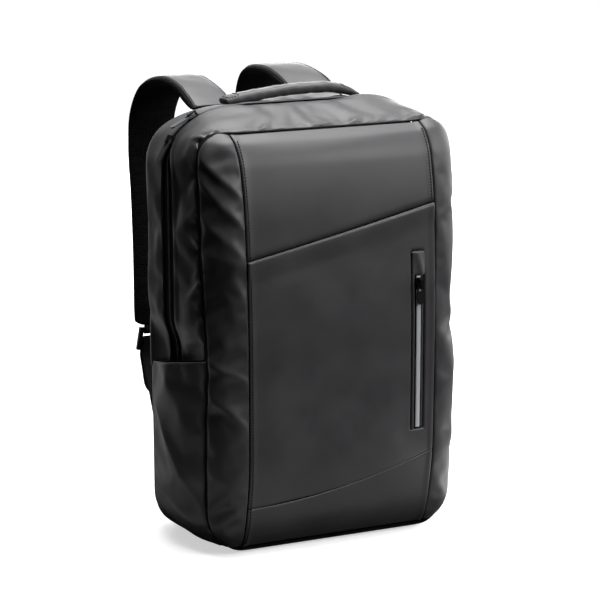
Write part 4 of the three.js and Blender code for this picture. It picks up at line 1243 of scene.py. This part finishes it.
def pocket_lift(side):
    def lift(u, share, p, reach):
        from_foot, from_mouth, from_crease, from_rear = reach
        across = np.sin(np.pi * np.clip(share, 0, 1))
        total = POCKET_SLACK * across * smoothstep(u, *POCKET_SWELLS)
        for front_z, rear_z, width, height in POCKET_FOLDS:
            off = (p[..., 2] - lerp(front_z, rear_z, share)) / width
            total += across * height * np.exp(-np.abs(off) ** 1.3)
        ridge = np.exp(-((share - POCKET_RIDGE["share"]) / POCKET_RIDGE["half"]) ** 2)
        total += POCKET_RIDGE["height"] * ridge * smoothstep(u, *POCKET_RIDGE["grows"])
        total += sink(from_crease, **CREASE_SINK) + turn_in(from_rear, **POCKET_REAR)
        total += MOUTH_RISE * (1 - smoothstep(from_mouth, MOUTH_HEM - 2, MOUTH_HEM + 2))
        total += turn_in(from_mouth, **MOUTH_EDGE)
        return total + across * ripples(p, POCKET_RIPPLES, side)
    return lift


for name, side in SIDES.items():
    at = pocket_point(side)
    rows = spaced(at, 0.5, *POCKET_ENDS)
    shares = marks(POCKET_WIDTH) / POCKET_WIDTH
    p = settle(raised(at, rows, shares, pocket_lift(side)), **POCKET_SETTLE)
    cloth_piece("side_pocket_cloth_" + name, p, coated_cloth, "coated_fabric", "side_pocket_" + name,
                thick=POCKET_CLOTH)
    # Painted shade: a strip of the black tape just inside each pocket's mouth stands in for the shadow in the
    # gap between the pocket and the wall.
    inside = np.array([-side * (POCKET_CLOTH + GAP), 0, 0])
    mouth_shade = np.stack([p[-1] + inside + np.array([0, 0, rise]) for rise in MOUTH_SHADE_RISES])
    cloth_piece("pocket_mouth_painted_shade_" + name, mouth_shade, shade_tape, "zip_tape", thick=SHADE_TAPE["thick"])


# Back panel: a padded board faced in black spacer mesh, with an air channel down the middle, sewn into the
# rear half of the gusset.
BACK_PAD = 6
BACK_THICK = 7
BACK_PITCH = 5
RIM_HALF = 128
RIM_TOP = 203
AIR_CHANNEL = {"half": 17, "soft": 9, "depth": 3.0, "bottom": 40, "top": 392, "end": 16}
BACK_EDGE = {"radius": 7, "depth": 3}
BACK_RIPPLES = [(0.5, 70, 71, 1)]
STRAP_MESH_SHADED_BLACK = "#0d0d0e"
BACK_MESH_LIT_GREY = "#242427"
MESH_HOLE_SHADE = "#010101"
MESH_CELL = 3.0


def spacer_knit(name, yarn_code, shine):
    """A knitted spacer fabric: matt black yarn round rows of open cells, deep enough to swallow light, with
    painted shade near black in the cells.
    """
    made, tree = blank_material(name)
    place = add_node(tree, "TexCoord").outputs["Object"]
    cells = add_node(tree, "TexVoronoi", {"Vector": place, "Scale": 1 / (MESH_CELL * MM), "Randomness": 0.3})
    hole_shade_mask = add_node(tree, "MapRange", {"Value": cells.outputs["Distance"], "From Min": 0.18, "From Max": 0.5})
    # Painted shade: the open cells are coloured near black for the shade deep inside them.
    yarn_and_hole_shade = add_node(tree, "Mix", {0: hole_shade_mask.outputs["Result"], 6: linear(MESH_HOLE_SHADE), 7: linear(yarn_code)},
                    data_type="RGBA")
    knit = add_node(tree, "Bump", {"Height": hole_shade_mask.outputs["Result"], "Strength": 0.9, "Distance": 0.6 * MM})
    add_surface(tree, {
        "Base Color": yarn_and_hole_shade.outputs[2],
        "Roughness": 0.9,
        "Specular IOR Level": shine,
        "Normal": knit.outputs["Normal"],
    })
    return made


# Lit and shaded copies of one mesh: the straps' copy is darkened as painted shade for their inner faces in
# shadow, and the back panel's copy is lightened as painted light so that it shows in the dim light behind the
# bag.
strap_mesh_shaded = spacer_knit("knitted_strap_mesh_painted_shade", STRAP_MESH_SHADED_BLACK, 0.08)
back_mesh_lit = spacer_knit("knitted_back_mesh_painted_light", BACK_MESH_LIT_GREY, 0.3)


def back_depth(x, z):
    across_x = np.minimum(np.abs(x) / RIM_HALF, 1) ** 6
    across_z = np.minimum(np.abs(z - MIDDLE_HEIGHT) / RIM_TOP, 1) ** 6
    return BACK_Y + BACK_PAD * (1 - across_x) * (1 - across_z)


rim_u = np.linspace(1, 5, 1200)
rim_x, rim_z = outline(rim_u, np.full_like(rim_u, BACK_Y))


def back_point(t, z):
    x = t * (np.interp(z, rim_z, rim_x) - 2 * SEAM_GAP)
    return np.stack([x, back_depth(x, z), z], axis=-1)


def back_lift(t, z, p, reach):
    edge = np.minimum.reduce(reach)
    across = 1 - smoothstep(np.abs(p[..., 0]), AIR_CHANNEL["half"] - AIR_CHANNEL["soft"], AIR_CHANNEL["half"])
    down = smoothstep(z, AIR_CHANNEL["bottom"], AIR_CHANNEL["bottom"] + AIR_CHANNEL["end"])
    down = down * (1 - smoothstep(z, AIR_CHANNEL["top"] - AIR_CHANNEL["end"], AIR_CHANNEL["top"]))
    channel = AIR_CHANNEL["depth"] * across * down
    return turn_in(edge, **BACK_EDGE) - channel + ripples(p, BACK_RIPPLES)


back_columns = marks(2 * RIM_HALF, BACK_PITCH) / RIM_HALF - 1
back_rows = rim_z[0] + SEAM_GAP + marks(rim_z[-1] - rim_z[0] - 2 * SEAM_GAP, BACK_PITCH)
back = raised(back_point, back_columns, back_rows, back_lift)
back = cloth_piece("back_panel_mesh", back, back_mesh_lit, "spacer_mesh", "back_panel", thick=BACK_THICK)


# Grab handle: a roll of the coated cloth round a soft core, flattened at both ends and sewn down to the top
# with a boxed row of stitches.
HANDLE_Y = 30
HANDLE = [
    # distance to the right of the middle, lift, half height, half depth
    (-77, 3.2, 3.0, 9.6),
    (-72, 4.4, 4.4, 10.2),
    (-60, 6.0, 5.2, 10.0),
    (-34, 8.8, 5.6, 9.8),
    (8, 12.2, 5.6, 9.6),
    (42, 12.4, 5.6, 9.6),
    (64, 8.8, 5.0, 9.8),
    (75, 4.6, 3.6, 10.2),
    (81, 2.2, 2.4, 10.0),
]
HANDLE_SQUARE = 3.0
HANDLE_SIDES = 28
HANDLE_STATIONS = 90
HANDLE_UNEVEN = 0.35
HANDLE_WAVES = {"wavelength": 16, "seed": 81, "stretch": (0.6, 1, 1)}


def solid_piece(name, rings, look):
    """A closed, smooth-shaded solid from rings of points, with the distance along and around it."""
    count, sides = rings.shape[:2]
    faces = [list(f) for f in grid_faces(count, sides, loop=True)]
    faces += [list(range(sides)), list(range((count - 1) * sides, count * sides))[::-1]]
    centre = rings.mean(axis=1)
    along = run_of(centre)
    around = np.cumsum(np.linalg.norm(np.diff(rings, axis=1, prepend=rings[:, -1:]), axis=-1), axis=1)
    volume = 0
    flat = rings.reshape(-1, 3) - centre.mean(axis=0)
    for face in faces[:-2]:
        a, b, c, d = flat[face]
        volume += np.dot(a, np.cross(b, c)) + np.dot(a, np.cross(c, d))
    if volume < 0:
        faces = [face[::-1] for face in faces]
    fields = {"along": np.repeat(along, sides), "across": around}
    return mesh_object(name, rings.reshape(-1, 3), faces, look, fields)


def round_profile(half_a, half_b, sides, power):
    """A rounded loop of (across, out) pairs, squarer as the power rises."""
    turn = 2 * np.pi * (np.arange(sides) + 0.5) / sides
    c = np.cos(turn)
    s = np.sin(turn)
    return np.stack([
        np.sign(c) * np.abs(c) ** (2 / power) * half_a,
        np.sign(s) * np.abs(s) ** (2 / power) * half_b,
    ], axis=-1)


handle_curves = curves_of(HANDLE)
handle_x = np.linspace(HANDLE[0][0], HANDLE[-1][0], HANDLE_STATIONS)
top_at_handle = section_curves[2](HANDLE_Y)
lift, half_height, half_depth = [curve(handle_x) for curve in handle_curves]
handle_line = np.stack([handle_x, np.full_like(handle_x, HANDLE_Y), top_at_handle + GAP + lift], axis=-1)
handle_way = unit(np.gradient(handle_line, axis=0))
handle_up = unit(np.cross(handle_way, [0, 1, 0]) * -1)
handle_pairs = [
    round_profile(deep, high, HANDLE_SIDES, HANDLE_SQUARE) for deep, high in zip(half_depth, half_height)
]
handle_rings = np.stack([
    centre + np.outer(pair[:, 0], [0, 1, 0]) + np.outer(pair[:, 1], up)
    for centre, up, pair in zip(handle_line, handle_up, handle_pairs)
])
bend = handle_rings - handle_line[:, None]
handle_rings += unit(bend) * (HANDLE_UNEVEN * ripple(handle_rings, **HANDLE_WAVES))[..., None]
handle = solid_piece("handle_roll", handle_rings, coated_cloth)
smoothed(handle)
fix(handle, "coated_fabric", "top_handle")

BOX_STITCH = {"near": 62, "far": 74, "half": 8}


def on_handle(x, deep, rise=0.0):
    """A row of stitches over the handle's upper face, which faces up."""
    rounded = (1 - (np.abs(deep) / handle_curves[2](x)) ** HANDLE_SQUARE) ** (1 / HANDLE_SQUARE)
    lifted = handle_curves[0](x) + handle_curves[1](x) * rounded + rise
    row = np.stack([x + 0 * lifted, HANDLE_Y + deep + 0 * lifted, top_at_handle + GAP + lifted], axis=-1)
    return row, [0, 0, 1]


handle_stitches = []
for side in SIDES.values():
    for deep in (-BOX_STITCH["half"], BOX_STITCH["half"]):
        handle_stitches.append(on_handle(side * np.linspace(BOX_STITCH["near"], BOX_STITCH["far"], 30), deep))
    for x in (BOX_STITCH["near"], BOX_STITCH["far"]):
        deep = np.linspace(-BOX_STITCH["half"], BOX_STITCH["half"], 30)
        handle_stitches.append(on_handle(side * x, deep, rise=0.1))
fix(stitch_rows("handle_stitches", handle_stitches), "coated_fabric")


# Shoulder straps: a foam core wrapped in black spacer mesh, with a cap of the coated cloth sewn over its
# outer face, so that a rounded edge of mesh shows on both sides.
STRAP = [
    (64, 58, 447.4), (64, 72, 443.2), (64.5, 92, 449), (65, 108, 456.6), (66, 126, 462), (67, 149, 464),
    (70, 187, 454), (73, 206, 426), (76, 206, 388), (80, 193, 340), (87, 175, 276), (96, 156, 204),
]
STRAP_SPREAD = {"back": 34, "up": 6, "near": 80, "far": 206, "low": 204, "high": 388}
STRAP_TILT = [(0, 0), (36, 5), (54, 6), (96, 2), (136, 0), (999, 0)]
STRAP_SEAT = {"share": 0.3, "from": 4, "to": 34}
STRAP_THINS = {"share": 0.55, "over": 14}
STRAP_WIDTH = (57, 50)
CORE = {"low": -3.5, "high": 5.3, "power": 4, "sides": 32}
CAP = {"margin": 3.2, "rise": 1.8, "thick": 1.2, "pitch": 3}
CAP_EDGE = {"radius": 2.2, "depth": 1.2}
CAP_RIPPLES = [(0.25, 40, 91, 1)]
STRAP_STATIONS = 150
PAD_THICK = 7


def curve_points(places, count):
    """Points evenly spaced along a smooth curve through places, with the pull of each span even."""
    p = np.asarray(places, float)
    p = np.r_[[2 * p[0] - p[1]], p, [2 * p[-1] - p[-2]]]
    fine = []
    for p0, p1, p2, p3 in zip(p, p[1:], p[2:], p[3:]):
        d0, d1, d2 = [max(np.linalg.norm(b - a), 1e-6) ** 0.5 for a, b in ((p0, p1), (p1, p2), (p2, p3))]
        m1 = ((p1 - p0) / d0 - (p2 - p0) / (d0 + d1) + (p2 - p1) / d1) * d1
        m2 = ((p2 - p1) / d1 - (p3 - p1) / (d1 + d2) + (p3 - p2) / d2) * d1
        t = np.linspace(0, 1, 60, endpoint=False)[:, None]
        fine.append(p1 + m1 * t + (3 * (p2 - p1) - 2 * m1 - m2) * t ** 2 + (2 * (p1 - p2) + m1 + m2) * t ** 3)
    fine = np.concatenate([*fine, p[-2:-1]])
    return points_at(np.linspace(0, run_of(fine)[-1], count), fine)


def band_frame(line):
    """Directions along a band's line, across it and out of its face."""
    along = unit(np.gradient(line, axis=0))
    across = unit(np.array([1.0, 0, 0]) - along * along[:, :1])
    return along, across, np.cross(across, along)


STRAP_TIP = 6


def strap_line(side):
    places = []
    for x, y, z in STRAP:
        away = smoothstep(y, STRAP_SPREAD["near"], STRAP_SPREAD["far"])
        away *= smoothstep(z, STRAP_SPREAD["low"], STRAP_SPREAD["high"]) if side > 0 else 0
        places.append((side * x, y + STRAP_SPREAD["back"] * away, z + STRAP_SPREAD["up"] * away))
    return curve_points(places, STRAP_STATIONS)


def with_tip(rings, along):
    """Rounds off the end of a strap beyond its last ring."""
    turn = np.linspace(0, np.pi / 2, 6)[1:]
    last = rings[-1]
    centre = last.mean(axis=0)
    more = [centre + (last - centre) * math.cos(0.94 * t) + along * STRAP_TIP * math.sin(t) for t in turn]
    return np.concatenate([rings, more])


strap_tilt = curves_of(STRAP_TILT)[0]
strap_ends = {}
cap_rows = []
for name, side in SIDES.items():
    line = strap_line(side)
    along, across, out = band_frame(line)
    strap_ends[side] = (line[-1], along[-1], across[-1], out[-1])
    t = np.linspace(0, 1, STRAP_STATIONS)
    length = run_of(line)[-1]
    half = lerp(*STRAP_WIDTH, t) / 2
    from_seat = t * length
    from_tip = length - from_seat
    tilt = np.arctan(strap_tilt(from_seat) / STRAP_WIDTH[0])[:, None]
    across = across * np.cos(tilt) + side * out * np.sin(tilt)
    out = np.cross(across, along)
    full = lerp(STRAP_SEAT["share"], 1, smoothstep(from_seat, STRAP_SEAT["from"], STRAP_SEAT["to"]))
    full *= lerp(STRAP_THINS["share"], 1, smoothstep(from_tip, 0, STRAP_THINS["over"]))
    high = CORE["high"] * full
    low = CORE["low"] * full
    pairs = [
        round_profile(wide, thick / 2, CORE["sides"], CORE["power"]) for wide, thick in zip(half, high - low)
    ]
    rings = np.stack([
        line[k] + across[k] * pair[:, :1] + out[k] * (pair[:, 1:] + (high[k] + low[k]) / 2)
        for k, pair in enumerate(pairs)
    ])
    core = solid_piece("strap_core_" + name, with_tip(rings, along[-1]), strap_mesh_shaded)
    fix(core, "spacer_mesh", "strap_lining_" + name)

    cap_width = STRAP_WIDTH[0] - 2 * CAP["margin"]
    share = marks(cap_width, CAP["pitch"]) / (cap_width / 2) - 1
    reach = (half - CAP["margin"])[:, None] * share[None]
    inside = (half - CAP["margin"])[:, None] - np.abs(reach)
    rise = CAP["rise"] * (1 - share[None] ** 4) * full[:, None] + turn_in(inside, **CAP_EDGE) + high[:, None]
    p = line[:, None] + across[:, None] * reach[..., None] + out[:, None] * rise[..., None]
    p += out[:, None] * ripples(p, CAP_RIPPLES, side)[..., None]
    faces = grid_faces(*p.shape[:2])[:, ::-1]
    cap = mesh_object("strap_cap_" + name, p.reshape(-1, 3), faces, coated_cloth)
    thickened(cap, CAP["thick"])
    fix(cap, "coated_fabric", "strap_pad_" + name)
    for column in (2, -3):
        cap_rows.append((p[4:-3, column], out[4:-3]))
fix(stitch_rows("strap_stitches", cap_rows), "coated_fabric")


# Ladder locks and webbing: a moulded lock hangs from a folded tab at the end of each strap. Polyester webbing
# runs up from the foot of the back, round the lock's middle bar and out again as a short free tail.
WEBBING = {"width": 25, "thick": 1.5, "sides": 24, "power": 7}
LOCK = {"thick": 4, "bar": 4.6, "slot": 6, "flare": 0.38, "drop": 9}
ANCHOR = {"x": 112, "high": 66, "low": 40}
BAR_TURN = [
    # turn of the webbing round a bar, as shares of its half width and half height
    (-0.7, -0.75), (-1, 0), (-0.7, 0.75),
]
TAIL_LENGTH = 46
TAIL_TIP = 16
TAB = {"overlap": 6, "half": 1.2}
WEBBING_STATIONS = {"long": 200, "tab": 70}
LOCK_ROUND = 0.9
WEBBING_BLACK = "#0e0e10"
RIB_PITCH = 1.6
PICK_PITCH = 1.3
LOCK_BLACK = "#121213"
LOCK_SPARK = 0.7

# Woven polyester webbing: ribs along it and picks across it, dull black with a faint ribbed sheen.
webbing_cloth, tree = blank_material("woven_polyester_webbing")
picks = thread_wave(tree, "along", PICK_PITCH)
ribs = thread_wave(tree, "across", RIB_PITCH)
crossing = add_node(tree, "Math", {0: picks, 1: ribs}, operation="ADD")
weave = add_node(tree, "Bump", {"Height": crossing.outputs["Value"], "Strength": 0.6, "Distance": 0.15 * MM})
add_surface(tree, {
    "Base Color": linear(WEBBING_BLACK),
    "Roughness": 0.8,
    "Specular IOR Level": 0.2,
    "Normal": weave.outputs["Normal"],
})

# Moulded acetal: a hard, slightly waxy black plastic with the fine texture of its mould.
lock_plastic = grained("moulded_acetal", LOCK_BLACK, LOCK_SPARK, 0.25, 0.06, {"Roughness": 0.35, "IOR": 1.48})


def webbing_piece(name, places, count, tip=0):
    """A length of webbing along a line, with soft edges and its far end cut round over a tip."""
    line = curve_points(places, count)
    _, across, out = band_frame(line)
    half_width = WEBBING["width"] / 2 - GAP
    pair = round_profile(half_width, WEBBING["thick"] / 2, WEBBING["sides"], WEBBING["power"])
    along = run_of(line)
    cut = np.clip(1 - (along[-1] - along) / max(tip, 0.01), 0, 0.97)
    wide = np.sqrt(1 - cut ** 2)[:, None, None]
    rings = line[:, None] + across[:, None] * pair[None, :, :1] * wide + out[:, None] * pair[None, :, 1:]
    return solid_piece(name, rings, webbing_cloth)


for name, side in SIDES.items():
    end, along, across, out = strap_ends[side]
    turned = math.cos(LOCK["flare"]) * along + math.sin(LOCK["flare"]) * np.cross(across, along)
    lock_out = np.cross(across, turned)
    pitch = LOCK["bar"] + LOCK["slot"]
    centre = end + out * PAD_THICK / 2 + along * LOCK["drop"] + turned * pitch
    reach = pitch + LOCK["bar"] / 2
    half_bar = LOCK["bar"] / 2 + GAP + WEBBING["thick"] / 2
    half_lock = LOCK["thick"] / 2 + GAP + WEBBING["thick"] / 2

    def on_lock(y, z):
        return centre + turned * y + lock_out * z

    def anchor(z):
        depth = back_depth(ANCHOR["x"] - WEBBING["width"] / 2, z)
        return np.array([side * ANCHOR["x"], depth + GAP + WEBBING["thick"] / 2, z])

    tail_over = on_lock(reach + 4, half_lock)
    tail_tip = tail_over + np.array([0, -0.3 * TAIL_LENGTH, -0.95 * TAIL_LENGTH])
    below = on_lock(reach + 4, -half_lock - 2)
    route = [
        anchor(ANCHOR["low"]),
        anchor((ANCHOR["high"] + ANCHOR["low"]) / 2),
        anchor(ANCHOR["high"]),
        lerp(anchor(ANCHOR["high"]), below, 0.5),
        below,
        on_lock(pitch, -half_lock - GAP),
        on_lock(0.4 * half_bar, -half_lock),
        *[on_lock(y * half_bar, z * half_lock) for y, z in BAR_TURN],
        on_lock(0.4 * half_bar, half_lock),
        on_lock(pitch, half_lock + GAP),
        tail_over,
        lerp(tail_over, tail_tip, 0.4),
        tail_tip,
    ]
    webbing = webbing_piece("adjusting_webbing_" + name, route, WEBBING_STATIONS["long"], TAIL_TIP)
    fix(webbing, "webbing", "lower_webbing_" + name, "webbing_tail_" + name)

    start = end + out * PAD_THICK / 2 - along * TAB["overlap"]
    tab_route = [
        start + out * TAB["half"],
        on_lock(-pitch - 1.4 * half_bar, half_lock - 0.8),
        on_lock(-pitch, half_lock),
        *[on_lock(-pitch - y * half_bar, -z * half_lock) for y, z in BAR_TURN],
        on_lock(-pitch, -half_lock),
        on_lock(-pitch - 1.4 * half_bar, -half_lock + 0.8),
        start - out * TAB["half"],
    ]
    tab = webbing_piece("lock_tab_" + name, tab_route, WEBBING_STATIONS["tab"])
    fix(tab, "webbing", "buckle_tab_" + name)
    finish_casting("buckle_" + name, lock_plastic, LOCK_ROUND)
